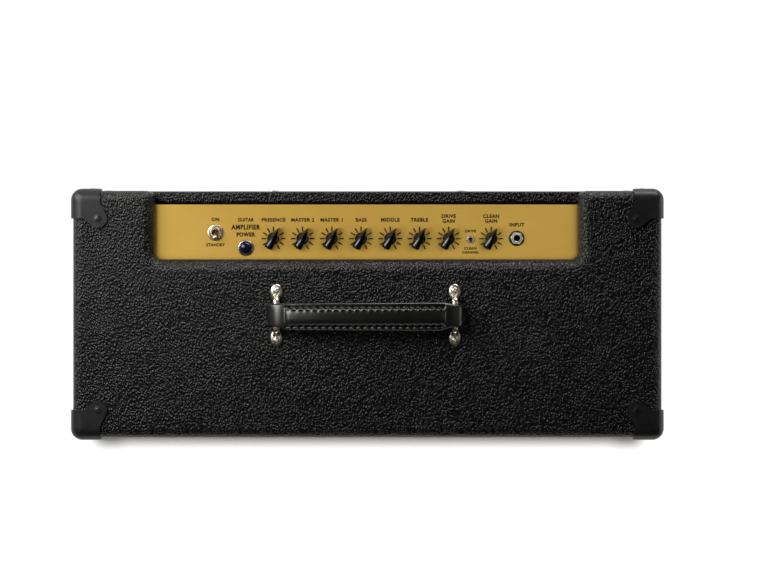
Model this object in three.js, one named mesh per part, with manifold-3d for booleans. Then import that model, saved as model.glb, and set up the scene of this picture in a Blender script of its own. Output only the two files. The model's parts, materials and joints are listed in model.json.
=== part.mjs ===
// A valve guitar amplifier head: a covered wooden cabinet with its control panel sunk into the
// rear half of the top, a carrying strap, a cloth front and a closed back.
// Millimetres, +Z up. X runs to the player's right, -Y is the cloth front, +Y the back.
// The origin is on the floor, below the middle of the cabinet.
import * as THREE from 'three';
import { mergeVertices } from 'three/addons/utils/BufferGeometryUtils.js';
import { RoundedBoxGeometry } from 'three/addons/geometries/RoundedBoxGeometry.js';
import Module from 'manifold-3d';

const wasm = await Module();
wasm.setup();

// ---- Driving dimensions -------------------------------------------------------------------

const GAP = 0.3; // clearance left between pieces that touch
const WALL_CUT = 5; // how far a cutter runs past the face that it cuts

const cabinet = { width: 612.8, depth: 257.2, height: 238, board: 18, edge: 9.5 };
const footHeight = 12;
const floorZ = footHeight;
const topZ = footHeight + cabinet.height;
const halfWidth = cabinet.width / 2;
const halfDepth = cabinet.depth / 2;
const insideHalf = halfWidth - cabinet.board;
const insideFloor = floorZ + cabinet.board;
const insideRoof = topZ - cabinet.board;

const recess = { middle: -0.9, half: 220.5, front: 57.2, corner: 7 };
const sheet = 1.5; // thickness of the faceplate and of the folded steel chassis
const panel = { top: insideRoof - GAP, lip: 3, rear: 114.9 };

const backBoard = { thickness: 12.4, inset: 1, split: 100 };
const backOuter = halfDepth - backBoard.inset;
const backInner = backOuter - backBoard.thickness;
const vent = { half: 200, low: 125, high: 180, lap: 6 };
const socketWindow = { half: 225, low: 37, high: 75 };

const baffle = { cloth: 1.2, thickness: 12, inset: 14, piping: 5 };
const clothFront = -halfDepth + baffle.inset;

const protector = { reach: 29, lobe: 9.6, wall: 2, shoulder: 9.6, corner: 27.3 };
const lobeOnTop = [26.6, 29.2]; // in from the end edge and from the long edge
const lobeOnSide = [19, 27]; // in from the upright edge and from the roof or floor

const foot = { radius: 19, x: 246, y: 78 };

const strap = { x: -1.8, y: -1, width: 30, endWidth: 23.5, half: 103.2, gripHalf: 81, lift: 3 };
const strapTop = [[82, 268.9], [66, 273.7], [44, 277.3], [18, 278.9]]; // out from the middle, and up
const strapUnder = [[18, 266], [44, 264.4], [64, 260], [80, 250.8]];
const strapLoop = { low: topZ + 0.8, leather: 5, play: 1.2 };
const bar = { half: 92.6, radius: 3, z: topZ + 9, foot: 23.8, footPad: [5.7, 7.8, 2.4] };

const controlRow = 78.8; // the knobs' line, from front to back
const knob = { first: -98.1, pitch: 30.5, last: 129.3, rest: 28.5, height: 15, tip: 12.4, tail: 12 };
const shaftRadius = 3;
const shaftBore = 3.4;
const knobNames = ['presence', 'master_2', 'master_1', 'bass', 'middle', 'treble', 'gain_2', 'gain_1'];

// A toggle's box is its size along X, along Y and downwards. Its throat is the bore's radius at
// the bottom and at the mouth, and its well is the bore's depth under the pivot.
const powerSwitch = {
  x: -158.7, y: 85, tilt: 15, pivot: 226, sides: 16,
  bushing: 5.8, rise: 2.6, box: [14, 28, 22], throat: [3.4, 4.4], well: 4,
  ball: 3, stem: 1.6, end: 2.6, length: 23.6, nut: 8.6,
};
const channelSwitch = {
  x: 107.7, y: 77.9, tilt: 10, pivot: 229.5, sides: 12,
  bushing: 3.4, rise: 3, box: [8, 13, 11], throat: [2, 2.8], well: 2.2,
  ball: 1.6, stem: 0.9, end: 1.5, length: 9.5,
};
const lamp = { x: -127.1, y: 69.3, bezel: 8.6, jewel: 6.3, body: 5.6, depth: 28, rise: 2.6, dome: 3.4 };
const inputJack = { x: 156, y: 79.2, washer: 8.1, nut: 6.2, thread: 4.7, bore: 3.3 };

const controlTray = { half: 229, front: 46, drop: 34 };
const powerTray = { half: 235, front: -70, rear: 114.6, low: insideFloor + GAP, high: 80 };
const holeClearance = GAP + 0.2; // round a bushing where it passes through sheet metal

const potentiometer = { can: 8.2, canHeight: 7, bushing: 3.9 };
const controlCircuit = { z: 201.5, end: 14, front: 60, rear: 98 };
const boardThickness = 1.6;

const ironParts = [
  { name: 'power_transformer', x: -172, y: 10, width: 76, height: 66, depth: 44 },
  { name: 'output_transformer', x: 178, y: 10, width: 62, height: 54, depth: 36 },
  { name: 'choke', x: -95, y: -25, width: 44, height: 38, depth: 24 },
];
const valveRow = 60;
const powerValves = { at: [-70, -18], socket: 17, bulb: 16, height: 92 };
const preampValves = { at: [35, 75, 115], socket: 11.5, bulb: 10, height: 58 };
const mainCircuit = { left: -150, right: 120, front: -45, rear: 50, z: 50 };
const capacitors = { at: [-90, -50, -10], radius: 11, height: 24 };

const rearRow = 56; // height of the sockets' line on the back
const inlet = { x: 185, width: 24, height: 16.4, depth: 16 };
const rocker = { x: 140, width: 11.6, height: 19, tilt: 9, pivot: 3 };
const housingWall = 1.5; // of the inlet and of the rocker's frame
const speakerJacks = [-120, -160];

// ---- Geometry helpers ---------------------------------------------------------------------

const radians = THREE.MathUtils.degToRad;

function solid(geometry) {
  geometry.deleteAttribute('normal');
  geometry.deleteAttribute('uv');
  const welded = mergeVertices(geometry, 1e-4);
  const corners = welded.index.array;
  const triangles = [];
  for (let i = 0; i < corners.length; i += 3) {
    const [a, b, c] = corners.slice(i, i + 3);
    if (a !== b && b !== c && c !== a) triangles.push(a, b, c);
  }
  return new wasm.Manifold(new wasm.Mesh({
    numProp: 3,
    vertProperties: new Float32Array(welded.attributes.position.array),
    triVerts: new Uint32Array(triangles),
  }));
}

function geometryOf(body) {
  const mesh = body.getMesh();
  const geometry = new THREE.BufferGeometry();
  geometry.setAttribute('position', new THREE.BufferAttribute(mesh.vertProperties, 3));
  geometry.setIndex(new THREE.BufferAttribute(mesh.triVerts, 1));
  geometry.computeVertexNormals();
  return geometry;
}

function joined(...bodies) {
  return bodies.reduce((whole, body) => whole.add(body));
}

function block(x0, x1, y0, y1, z0, z1) {
  const box = new THREE.BoxGeometry(x1 - x0, y1 - y0, z1 - z0);
  return solid(box.translate((x0 + x1) / 2, (y0 + y1) / 2, (z0 + z1) / 2));
}

function roundedBlock(width, depth, height, radius, segments, middleZ) {
  const box = new RoundedBoxGeometry(width, depth, height, segments, radius);
  return solid(box.translate(0, 0, middleZ));
}

// A round bar standing along Z.
function post(radius, z0, z1, x = 0, y = 0, sides = 12) {
  const cylinder = new THREE.CylinderGeometry(radius, radius, z1 - z0, sides);
  return solid(cylinder.rotateX(Math.PI / 2).translate(x, y, (z0 + z1) / 2));
}

// A round bar lying along Y.
function rod(radius, y0, y1, x = 0, z = 0, sides = 12) {
  const cylinder = new THREE.CylinderGeometry(radius, radius, y1 - y0, sides);
  return solid(cylinder.translate(x, (y0 + y1) / 2, z));
}

// A profile of [radius, height] pairs turned about Z.
function turned(profile, sides = 16) {
  const points = profile.map(([radius, height]) => new THREE.Vector2(radius, height));
  return solid(new THREE.LatheGeometry(points, sides).rotateX(Math.PI / 2));
}

function outline(points) {
  return new THREE.Shape(points.map(([a, b]) => new THREE.Vector2(a, b)));
}

function rectangle(a0, a1, b0, b1) {
  return outline([[a0, b0], [a1, b0], [a1, b1], [a0, b1]]);
}

function extruded(shape, depth, curveSegments) {
  return new THREE.ExtrudeGeometry(shape, { depth, bevelEnabled: false, curveSegments });
}

function alongZ(shape, z0, z1, curveSegments = 6) {
  return solid(extruded(shape, z1 - z0, curveSegments).translate(0, 0, z0));
}

// The shape's two axes become X and Z.
function alongY(shape, y0, y1, curveSegments = 6) {
  return solid(extruded(shape, y1 - y0, curveSegments).rotateX(Math.PI / 2).translate(0, y1, 0));
}

// The shape's two axes become Y and Z.
function alongX(shape, x0, x1, curveSegments = 6) {
  const turn = new THREE.Matrix4().makeBasis(
    new THREE.Vector3(0, 1, 0),
    new THREE.Vector3(0, 0, 1),
    new THREE.Vector3(1, 0, 0),
  );
  return solid(extruded(shape, x1 - x0, curveSegments).applyMatrix4(turn).translate(x0, 0, 0));
}

// Points of an arc about (a, b), from one angle to another in degrees.
function arcPoints(a, b, radius, from, to, steps) {
  return Array.from({ length: steps + 1 }, (_, i) => {
    const angle = radians(from + ((to - from) * i) / steps);
    return [a + radius * Math.cos(angle), b + radius * Math.sin(angle)];
  });
}

// ---- Finishes -----------------------------------------------------------------------------

function finish(color, roughness, metalness = 0) {
  return () => new THREE.MeshStandardMaterial({ color, roughness, metalness });
}

const vinylCovering = finish(0x1c1c1d, 0.55);
const clothFinish = finish(0x2a2826, 0.95);
const goldPiping = finish(0xb08a3a, 0.6, 0.3);
const plywood = finish(0x9c7a4d, 0.8);
const blackPlastic = finish(0x141414, 0.45);
const knobPlastic = finish(0x0c0c0c, 0.2);
const blackLeather = finish(0x151515, 0.4);
const blackRubber = finish(0x0e0e0e, 0.9);
const nickel = finish(0xc9c6bf, 0.2, 1);
const goldPanel = finish(0xb8923c, 0.4, 0.8);
const zincSteel = finish(0xa7a9a8, 0.45, 0.9);
const blackSteel = finish(0x161616, 0.5, 0.6);
const boardGreen = finish(0x2c5a38, 0.6);
const valveGlass = finish(0xdfe6e8, 0.05);
const jewelBlue = finish(0x14205c, 0.1);

const amp = new THREE.Group();
amp.name = 'guitar_amp_head';

function place(name, body, material, position = [0, 0, 0], rotation = [0, 0, 0]) {
  const mesh = new THREE.Mesh(geometryOf(body), material());
  mesh.name = name;
  mesh.position.set(...position);
  mesh.rotation.set(...rotation);
  amp.add(mesh);
}

// ---- Cabinet: four covered boards, mitred at the long corners -------------------------------

function shell() {
  const middle = (floorZ + topZ) / 2;
  const outside = roundedBlock(cabinet.width, cabinet.depth, cabinet.height, cabinet.edge, 3, middle);
  const y = halfDepth + WALL_CUT;
  return outside.subtract(block(-insideHalf, insideHalf, -y, y, insideFloor, insideRoof));
}

// The wedge that holds the roof (side 1) or the floor (side -1) between its two 45 degree mitres.
function mitreWedge(side, shift) {
  const face = side > 0 ? topZ : floorZ;
  const inner = cabinet.board + WALL_CUT;
  const outer = 2 * WALL_CUT;
  const wedge = outline([
    [-halfWidth - outer - shift, face + side * outer],
    [halfWidth + outer + shift, face + side * outer],
    [halfWidth - inner + shift, face - side * inner],
    [-halfWidth + inner - shift, face - side * inner],
  ]);
  return alongY(wedge, -halfDepth - WALL_CUT, halfDepth + WALL_CUT);
}

// The recess in the roof, open at the back. Its upper rim is rounded over like the outer edges:
// a straight run along each wall, and a turned piece in each front corner.
function recessCutter() {
  const radius = cabinet.edge;
  const rimSteps = 4;
  const rim = arcPoints(radius, topZ - radius, radius, 180, 90, rimSteps);
  const flare = [[0, insideRoof - WALL_CUT], ...rim, [radius, topZ + 1]];
  const { half, front, corner } = recess;
  const across = outline([
    ...flare.map(([out, z]) => [half + out, z]),
    ...flare.map(([out, z]) => [-half - out, z]).reverse(),
  ]);
  const ahead = outline([
    ...flare.map(([out, z]) => [front - out, z]),
    [front + corner, topZ + 1],
    [front + corner, insideRoof - WALL_CUT],
  ]);
  const bend = [
    [0, insideRoof - WALL_CUT],
    ...flare.map(([out, z]) => [corner + out, z]),
    [0, topZ + 1],
  ];
  const straight = half - corner;
  const corners = [-straight, straight].map((x) => {
    const points = bend.map(([r, z]) => new THREE.Vector2(r, z));
    const round = new THREE.LatheGeometry(points, 24).rotateX(Math.PI / 2);
    return solid(round.translate(x + recess.middle, front + corner, 0));
  });
  const wide = solid(
    extruded(across, halfDepth + WALL_CUT - front - corner)
      .rotateX(Math.PI / 2)
      .translate(recess.middle, halfDepth + WALL_CUT, 0),
  );
  return joined(wide, alongX(ahead, recess.middle - straight, recess.middle + straight), ...corners);
}

function cabinetBoards() {
  const whole = shell();
  const mitre = GAP / Math.SQRT2;
  const far = halfWidth + 2 * WALL_CUT;
  const deep = halfDepth + WALL_CUT;
  const sides = whole.subtract(mitreWedge(1, mitre)).subtract(mitreWedge(-1, mitre));
  const roof = whole.intersect(mitreWedge(1, -mitre)).subtract(recessCutter());
  place('cabinet_top', roof, vinylCovering);
  place('cabinet_bottom', whole.intersect(mitreWedge(-1, -mitre)), vinylCovering);
  const leftHalf = block(-far, 0, -deep, deep, 0, topZ + WALL_CUT);
  place('cabinet_left_side', sides.intersect(leftHalf), vinylCovering);
  place('cabinet_right_side', sides.subtract(leftHalf), vinylCovering);
}

// ---- Front: baffle board, stretched cloth and a piped border --------------------------------

function front() {
  const half = insideHalf - GAP;
  const low = insideFloor + GAP;
  const high = insideRoof - GAP;
  const clothBack = clothFront + baffle.cloth;
  const boardFront = clothBack + GAP;
  const board = block(-half, half, boardFront, boardFront + baffle.thickness, low, high);
  place('front_baffle', board, plywood);
  place('grille_cloth', block(-half, half, clothFront, clothBack, low, high), clothFinish);

  const bevel = baffle.piping / 3;
  const ring = rectangle(-half + bevel, half - bevel, low + bevel, high - bevel);
  const hole = baffle.piping - bevel;
  ring.holes.push(rectangle(-half + hole, half - hole, low + hole, high - hole));
  const cord = new THREE.ExtrudeGeometry(ring, {
    depth: baffle.piping - 2 * bevel,
    bevelThickness: bevel,
    bevelSize: bevel,
    bevelSegments: 2,
  });
  cord.rotateX(Math.PI / 2).translate(0, clothFront - GAP - bevel, 0);
  place('grille_piping', solid(cord), goldPiping);
}

// ---- Back: two covered panels, the vent's perforated sheet ----------------------------------

function back() {
  const half = insideHalf - GAP;
  const upper = rectangle(-half, half, backBoard.split + GAP / 2, insideRoof - GAP);
  upper.holes.push(rectangle(-vent.half, vent.half, vent.low, vent.high));
  place('back_panel_upper', alongY(upper, backInner, backOuter), vinylCovering);
  const lower = rectangle(-half, half, insideFloor + GAP, backBoard.split - GAP / 2);
  lower.holes.push(rectangle(-socketWindow.half, socketWindow.half, socketWindow.low, socketWindow.high));
  place('back_panel_lower', alongY(lower, backInner, backOuter), vinylCovering);
  const wide = vent.half + vent.lap;
  const meshBack = backInner - GAP;
  const mesh = block(-wide, wide, meshBack - sheet, meshBack, vent.low - vent.lap, vent.high + vent.lap);
  place('rear_vent_mesh', mesh, blackSteel);
}

// ---- Moulded corner protectors ------------------------------------------------------------

// One face's outline, measured inwards from the two edges that meet at the corner.
function protectorOutline([lobeA, lobeB], cornerA, signA, cornerB, signB) {
  const { reach, lobe, shoulder, corner } = protector;
  const inward = [
    [-WALL_CUT, -WALL_CUT],
    [reach, -WALL_CUT],
    [reach, 0],
    [corner, shoulder],
    ...arcPoints(lobeA, lobeB, lobe, -25, 115, 6),
    [shoulder, corner],
    [0, reach],
    [-WALL_CUT, reach],
  ];
  return outline(inward.map(([a, b]) => [cornerA - signA * a, cornerB - signB * b]));
}

function protectors() {
  const middle = (floorZ + topZ) / 2;
  const grown = (by) => roundedBlock(
    cabinet.width + 2 * by,
    cabinet.depth + 2 * by,
    cabinet.height + 2 * by,
    cabinet.edge + by,
    3,
    middle,
  );
  const skin = grown(GAP + protector.wall).subtract(grown(GAP));
  const wrap = cabinet.edge + protector.wall;
  for (const [sideName, sx] of [['left', -1], ['right', 1]]) {
    for (const [depthName, sy] of [['front', -1], ['rear', 1]]) {
      for (const [levelName, sz] of [['lower', -1], ['upper', 1]]) {
        const x = sx * halfWidth;
        const y = sy * halfDepth;
        const z = sz > 0 ? topZ : floorZ;
        const span = (at, sign) => [at - sign * wrap, at + sign * WALL_CUT].sort((a, b) => a - b);
        const region = joined(
          alongZ(protectorOutline(lobeOnTop, x, sx, y, sy), ...span(z, sz)),
          alongY(protectorOutline(lobeOnSide, x, sx, z, sz), ...span(y, sy)),
          alongX(protectorOutline(lobeOnSide, y, sy, z, sz), ...span(x, sx)),
        );
        place(`corner_${levelName}_${depthName}_${sideName}`, skin.intersect(region), blackPlastic);
      }
    }
  }
}

// ---- Feet ---------------------------------------------------------------------------------

function feet() {
  const top = footHeight - GAP;
  const profile = [[0, 0], [foot.radius - 1.5, 0], [foot.radius, 1.5], [foot.radius - 2.5, top], [0, top]];
  for (const [sideName, sx] of [['left', -1], ['right', 1]]) {
    for (const [depthName, sy] of [['front', -1], ['rear', 1]]) {
      place(`foot_${depthName}_${sideName}`, turned(profile), blackRubber, [sx * foot.x, sy * foot.y, 0]);
    }
  }
}

// ---- Carrying strap and its two loops -------------------------------------------------------

// Side view of the strap, looped round a bar at each end and arched over the hand's space.
function strapSide() {
  const { low, leather, play } = strapLoop;
  const slotTop = bar.z + bar.radius + GAP;
  const high = slotTop + leather;
  const middle = (low + high) / 2;
  const radius = (high - low) / 2;
  const onLeft = (points) => points.map(([x, z]) => [-x, z]);
  const side = outline([
    ...arcPoints(-strap.half + radius, middle, radius, 270, 90, 6),
    ...onLeft(strapTop),
    ...[...strapTop].reverse(),
    ...arcPoints(strap.half - radius, middle, radius, 90, -90, 6),
    ...[...strapUnder].reverse(),
    ...onLeft(strapUnder),
  ]);
  const slotLow = bar.z - bar.radius - strap.lift - GAP;
  for (const x of [-bar.half, bar.half]) {
    const halfSlot = bar.radius + play;
    side.holes.push(outline([
      ...arcPoints(x, slotTop - halfSlot, halfSlot, 0, 180, 6),
      ...arcPoints(x, slotLow + halfSlot, halfSlot, 180, 360, 6),
    ]));
  }
  return side;
}

function strapPlan() {
  const end = strap.endWidth / 2;
  const grip = strap.width / 2;
  const corner = 4;
  const taper = 3;
  const right = [
    ...arcPoints(strap.half + 0.5 - corner, end - corner, corner, 0, 90, 3),
    [strap.gripHalf + taper, (end + grip) / 2],
    [strap.gripHalf, grip],
  ];
  return outline([
    ...right,
    ...right.map(([x, y]) => [-x, y]).reverse(),
    ...right.map(([x, y]) => [-x, -y]),
    ...right.map(([x, y]) => [x, -y]).reverse(),
  ]);
}

function handle() {
  const side = alongY(strapSide(), -strap.width, strap.width);
  const plan = alongZ(strapPlan(), topZ, topZ + 60);
  place('handle_strap', side.intersect(plan), blackLeather, [strap.x, strap.y, 0]);

  const base = topZ + GAP;
  const [footX, footY, footThickness] = bar.footPad;
  const footFlare = 1.12;
  const rise = bar.z - base;
  const bend = 4;
  const inner = strap.width / 2 + 2;
  const at = (y, z) => new THREE.Vector3(0, y, z);
  const path = new THREE.CurvePath();
  path.add(new THREE.QuadraticBezierCurve3(at(-inner - bend, 1), at(-inner, rise), at(-inner + bend, rise)));
  path.add(new THREE.LineCurve3(at(-inner + bend, rise), at(inner - bend, rise)));
  path.add(new THREE.QuadraticBezierCurve3(at(inner - bend, rise), at(inner, rise), at(inner + bend, 1)));
  const round = outline(arcPoints(0, 0, bar.radius, 0, 315, 7));
  const loop = solid(new THREE.ExtrudeGeometry(round, { steps: 16, bevelEnabled: false, extrudePath: path }));
  const footPad = (y) => {
    const oval = new THREE.CylinderGeometry(1, footFlare, footThickness, 16).rotateX(Math.PI / 2);
    return solid(oval.scale(footX, footY, 1).translate(0, y, footThickness / 2));
  };
  const bracket = joined(loop, footPad(-bar.foot), footPad(bar.foot));
  const underside = block(-20, 20, -2 * bar.foot, 2 * bar.foot, -20, 0);
  const trimmed = bracket.subtract(underside);
  for (const [name, sx] of [['left', -1], ['right', 1]]) {
    place(`handle_bracket_${name}`, trimmed, nickel, [strap.x + sx * bar.half, strap.y, base]);
  }
}

// ---- Control panel ------------------------------------------------------------------------

function knobPlaces() {
  return knobNames.map((name, i) => [name, i < 7 ? knob.first + i * knob.pitch : knob.last]);
}

// Every hole through the faceplate and the steel under it.
function panelHoles(z0, z1) {
  return joined(
    ...knobPlaces().map(([, x]) => post(potentiometer.bushing + 0.2, z0, z1, x, controlRow, 10)),
    post(powerSwitch.bushing + holeClearance, z0, z1, powerSwitch.x, powerSwitch.y, 16),
    post(channelSwitch.bushing + holeClearance, z0, z1, channelSwitch.x, channelSwitch.y),
    post(lamp.body + holeClearance, z0, z1, lamp.x, lamp.y),
    post(inputJack.thread + holeClearance, z0, z1, inputJack.x, inputJack.y),
  );
}

function faceplate() {
  const left = recess.middle - recess.half - panel.lip;
  const right = recess.middle + recess.half + panel.lip;
  const low = panel.top - sheet;
  const plate = block(left, right, recess.front - panel.lip, panel.rear, low, panel.top);
  place('faceplate', plate.subtract(panelHoles(low - 1, panel.top + 1)), goldPanel);
}

// An inverted channel hung from the roof by the outward flanges at its two ends.
function controlChassis() {
  const top = panel.top - sheet - GAP;
  const { half, front: y0, drop } = controlTray;
  const y1 = panel.rear - GAP;
  const outside = block(-half, half, y0, y1, top - drop, top);
  const inside = block(-half + sheet, half - sheet, y0 + sheet, y1 - sheet, top - drop - 1, top - sheet);
  const tray = outside.subtract(inside).subtract(panelHoles(top - sheet - 1, top + 1));
  const flange = 18;
  const ears = [-1, 1].map((side) => {
    const inner = side * (half - sheet);
    const outer = side * (half + flange);
    const [x0, x1] = inner < outer ? [inner, outer] : [outer, inner];
    return block(x0, x1, y0, y1, top - sheet, top);
  });
  place('control_chassis', joined(tray, ...ears), zincSteel);
}

// The board under the panel with its eight potentiometers soldered in place.
function controlBoard() {
  const { z, end, front: y0, rear: y1 } = controlCircuit;
  const canTop = z + boardThickness + potentiometer.canHeight;
  const bushingTop = panel.top - 2 * GAP;
  const board = block(knob.first - end, knob.last + end, y0, y1, z, z + boardThickness);
  const pots = knobPlaces().map(([, x]) => joined(
    post(potentiometer.can, z + boardThickness / 2, canTop, x, controlRow),
    post(potentiometer.bushing, canTop - 1, bushingTop, x, controlRow, 10),
  ));
  const bores = knobPlaces().map(([, x]) => post(shaftBore, canTop - 4, bushingTop + 1, x, controlRow, 10));
  place('control_board', joined(board, ...pots).subtract(joined(...bores)), boardGreen);
}

// Pointer knob with its shaft: a round body under a long wedge, pointed at one end.
function pointerKnob() {
  const base = panel.top + 0.6;
  const shaftLow = 208;
  const { tip, tail, height } = knob;
  const tailHalf = 4.6;
  const bevel = 0.8;
  const plan = outline([
    [0.4, tip - bevel],
    [-0.4, tip - bevel],
    [-tailHalf + bevel, -tail + 3.4],
    [-tailHalf + 2, -tail + bevel + 0.6],
    [0, -tail + bevel],
    [tailHalf - 2, -tail + bevel + 0.6],
    [tailHalf - bevel, -tail + 3.4],
  ]);
  const wedge = new THREE.ExtrudeGeometry(plan, {
    depth: height - 2 * bevel - 1,
    bevelThickness: bevel,
    bevelSize: bevel,
    bevelSegments: 1,
  });
  return joined(
    turned([[0, 0], [6.7, 0], [6.5, 8], [5, 10.5], [0, 11]].map(([r, z]) => [r, base + z]), 14),
    solid(wedge.translate(0, 0, base + 1 + bevel)),
    post(shaftRadius, shaftLow, base + 2, 0, 0, 10),
  );
}

function knobs() {
  for (const [name, x] of knobPlaces()) {
    place(`knob_${name}`, pointerKnob(), knobPlastic, [x, controlRow, 0], [0, 0, radians(-knob.rest)]);
  }
}

// A toggle's lever: a ball on the pivot, a thin stem and a thicker rounded end.
function lever({ ball, stem, end, length }) {
  return turned([
    [0, -ball],
    [ball * 0.8, -ball * 0.6],
    [ball, 0],
    [ball * 0.8, ball * 0.6],
    [stem, ball * 1.3],
    [end * 0.85, length - end * 2],
    [end, length - end],
    [end * 0.7, length - end * 0.3],
    [0, length],
  ], 10);
}

// A toggle's box under the panel and its threaded bushing through it, hollow round the lever.
function toggleBody({ pivot, bushing, rise, box: [wide, deep, tall], throat, well, sides }) {
  const under = panel.top - 2 * sheet - 2 * GAP;
  const rim = panel.top + rise;
  const low = pivot - well;
  const bore = turned([[0, low], [throat[0], low], [throat[1], rim + 1], [0, rim + 1]], sides);
  return joined(
    block(-wide / 2, wide / 2, -deep / 2, deep / 2, under - tall, under),
    post(bushing, under - 1, rim, 0, 0, sides),
  ).subtract(bore);
}

function toggle(name, at, bodyFinish, leverFinish) {
  place(`${name}_body`, toggleBody(at), bodyFinish, [at.x, at.y, 0]);
  place(`${name}_lever`, lever(at), leverFinish, [at.x, at.y, at.pivot], [radians(at.tilt), 0, 0]);
}

function toggles() {
  toggle('power_switch', powerSwitch, zincSteel, nickel);
  toggle('channel_switch', channelSwitch, nickel, blackPlastic);
  const { x, y, bushing, nut } = powerSwitch;
  const inner = bushing + 0.4;
  const low = panel.top + GAP;
  const step = low + 1.4;
  const ring = [
    [inner, low],
    [nut, low],
    [nut, step],
    [nut - 1.2, step + 0.8],
    [inner, low + 3],
    [inner, low],
  ];
  place('power_switch_nut', turned(ring, 20), nickel, [x, y, 0]);
}

function pilotLamp() {
  const { bezel, jewel, body, depth, rise, dome } = lamp;
  const low = panel.top + GAP;
  const cup = low + 0.8;
  const rim = low + rise;
  const bottom = panel.top - depth;
  const lip = jewel + 0.5;
  const housing = [
    [0, bottom],
    [body - 1, bottom],
    [body, bottom + 4],
    [body, low],
    [bezel, low],
    [bezel, low + rise / 2],
    [lip + 0.7, rim],
    [lip, rim],
    [lip, cup],
    [0, cup],
  ];
  place('lamp_bezel', turned(housing, 20), nickel, [lamp.x, lamp.y, 0]);
  const base = cup + GAP;
  const shoulder = base + 2.4;
  const top = arcPoints(0, 0, 1, 0, 90, 4).map(([r, h]) => [jewel * r, shoulder + dome * h]);
  place('lamp_jewel', turned([[0, base], [jewel, base], ...top], 16), jewelBlue, [lamp.x, lamp.y, 0]);
}

function jackSocket({ thread, bore, nut }, boxLow, boxHigh, rim, nutLow) {
  const hexagon = outline(arcPoints(0, 0, nut / Math.cos(Math.PI / 6), 0, 300, 5));
  return joined(
    block(-8, 8, -10, 10, boxLow, boxHigh),
    post(thread, boxHigh - 1, rim),
    alongZ(hexagon, nutLow, nutLow + 2.4),
  ).subtract(post(bore, boxLow + 2, rim + 1));
}

function inputSocket() {
  const under = panel.top - 2 * sheet - 2 * GAP;
  const low = panel.top + GAP;
  const washerTop = low + 1.6;
  const socket = jackSocket(inputJack, under - 24, under, washerTop + 3.4, washerTop + GAP);
  place('input_jack', socket, nickel, [inputJack.x, inputJack.y, 0]);
  const { washer, thread } = inputJack;
  const inner = thread + 0.4;
  const ring = [[inner, low], [washer, low], [washer - 0.6, washerTop], [inner, washerTop], [inner, low]];
  place('input_jack_washer', turned(ring, 20), blackPlastic, [inputJack.x, inputJack.y, 0]);
}

// ---- Power chassis with its transformers and valves -----------------------------------------

function powerChassis() {
  const { half, front: y0, rear, low, high } = powerTray;
  const outside = block(-half, half, y0, rear, low, high);
  const inside = block(-half + sheet, half - sheet, y0 + sheet, rear - sheet, low - 1, high - sheet);
  const through = [rear - 3 * sheet, rear + 1];
  const around = housingWall + 0.8;
  const holeFor = ({ x, width, height }) => {
    const w = width / 2 + around;
    const h = height / 2 + around;
    return alongY(rectangle(x - w, x + w, rearRow - h, rearRow + h), ...through);
  };
  const holes = joined(
    holeFor(inlet),
    holeFor(rocker),
    ...speakerJacks.map((x) => rod(inputJack.thread + holeClearance, ...through, x, rearRow)),
  );
  place('power_chassis', outside.subtract(inside).subtract(holes), zincSteel);
}

// Iron core, two end covers and a mounting strap under it.
function transformer({ width, height, depth }) {
  const cover = width * 0.76;
  const bell = depth * 0.42;
  const coverHeight = height * 0.78;
  const lap = (height - coverHeight) / 2;
  const coverShape = rectangle(-cover / 2 + 3, cover / 2 - 3, lap + 3, lap + coverHeight - 3);
  const covers = new THREE.ExtrudeGeometry(coverShape, {
    depth: depth + 2 * bell - 6,
    bevelThickness: 3,
    bevelSize: 3,
    bevelSegments: 1,
  });
  return joined(
    block(-width / 2, width / 2, -depth / 2, depth / 2, 0, height),
    solid(covers.rotateX(Math.PI / 2).translate(0, depth / 2 + bell - 3, 0)),
    block(-width / 2 - 10, width / 2 + 10, -depth / 2, depth / 2, 0, 2),
  );
}

function valve({ socket, bulb, height }) {
  const shoulder = height - bulb * 0.8;
  return turned([
    [0, 0],
    [socket + 1.5, 0],
    [socket + 1.5, 2],
    [socket, 3],
    [socket, height * 0.22],
    [bulb, height * 0.3],
    [bulb, shoulder],
    [bulb * 0.7, shoulder + bulb * 0.5],
    [1.5, height - 2],
    [0, height],
  ], 14);
}

function electronics() {
  const deck = powerTray.high + GAP;
  for (const iron of ironParts) {
    place(iron.name, transformer(iron), blackSteel, [iron.x, iron.y, deck]);
  }
  for (const [kind, row] of [['power', powerValves], ['preamp', preampValves]]) {
    row.at.forEach((x, i) => {
      place(`${kind}_valve_${i + 1}`, valve(row), valveGlass, [x, valveRow, deck]);
    });
  }
  const { left, right, front: y0, rear: y1, z } = mainCircuit;
  const cans = capacitors.at.map((x) => post(capacitors.radius, z + 1, z + capacitors.height, x, 0));
  const board = block(left, right, y0, y1, z, z + boardThickness);
  place('main_circuit_board', joined(board, ...cans), boardGreen);
}

// ---- Sockets and switch on the back ---------------------------------------------------------

// A flanged body set through the rear wall, hollow from outside.
function flangedHousing(width, height, depth, flange) {
  const rear = powerTray.rear + GAP;
  const wall = housingWall;
  const lip = 2;
  const w = width / 2;
  const h = height / 2;
  const body = rectangle(-w - wall, w + wall, -h - wall, h + wall);
  const rimHeight = h + wall + 1.4;
  const rim = rectangle(-w - flange, w + flange, -rimHeight, rimHeight);
  return joined(
    alongY(body, rear - depth - wall, rear + 1),
    alongY(rim, rear, rear + lip),
  ).subtract(alongY(rectangle(-w, w, -h, h), rear - depth, rear + lip + 1));
}

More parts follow.
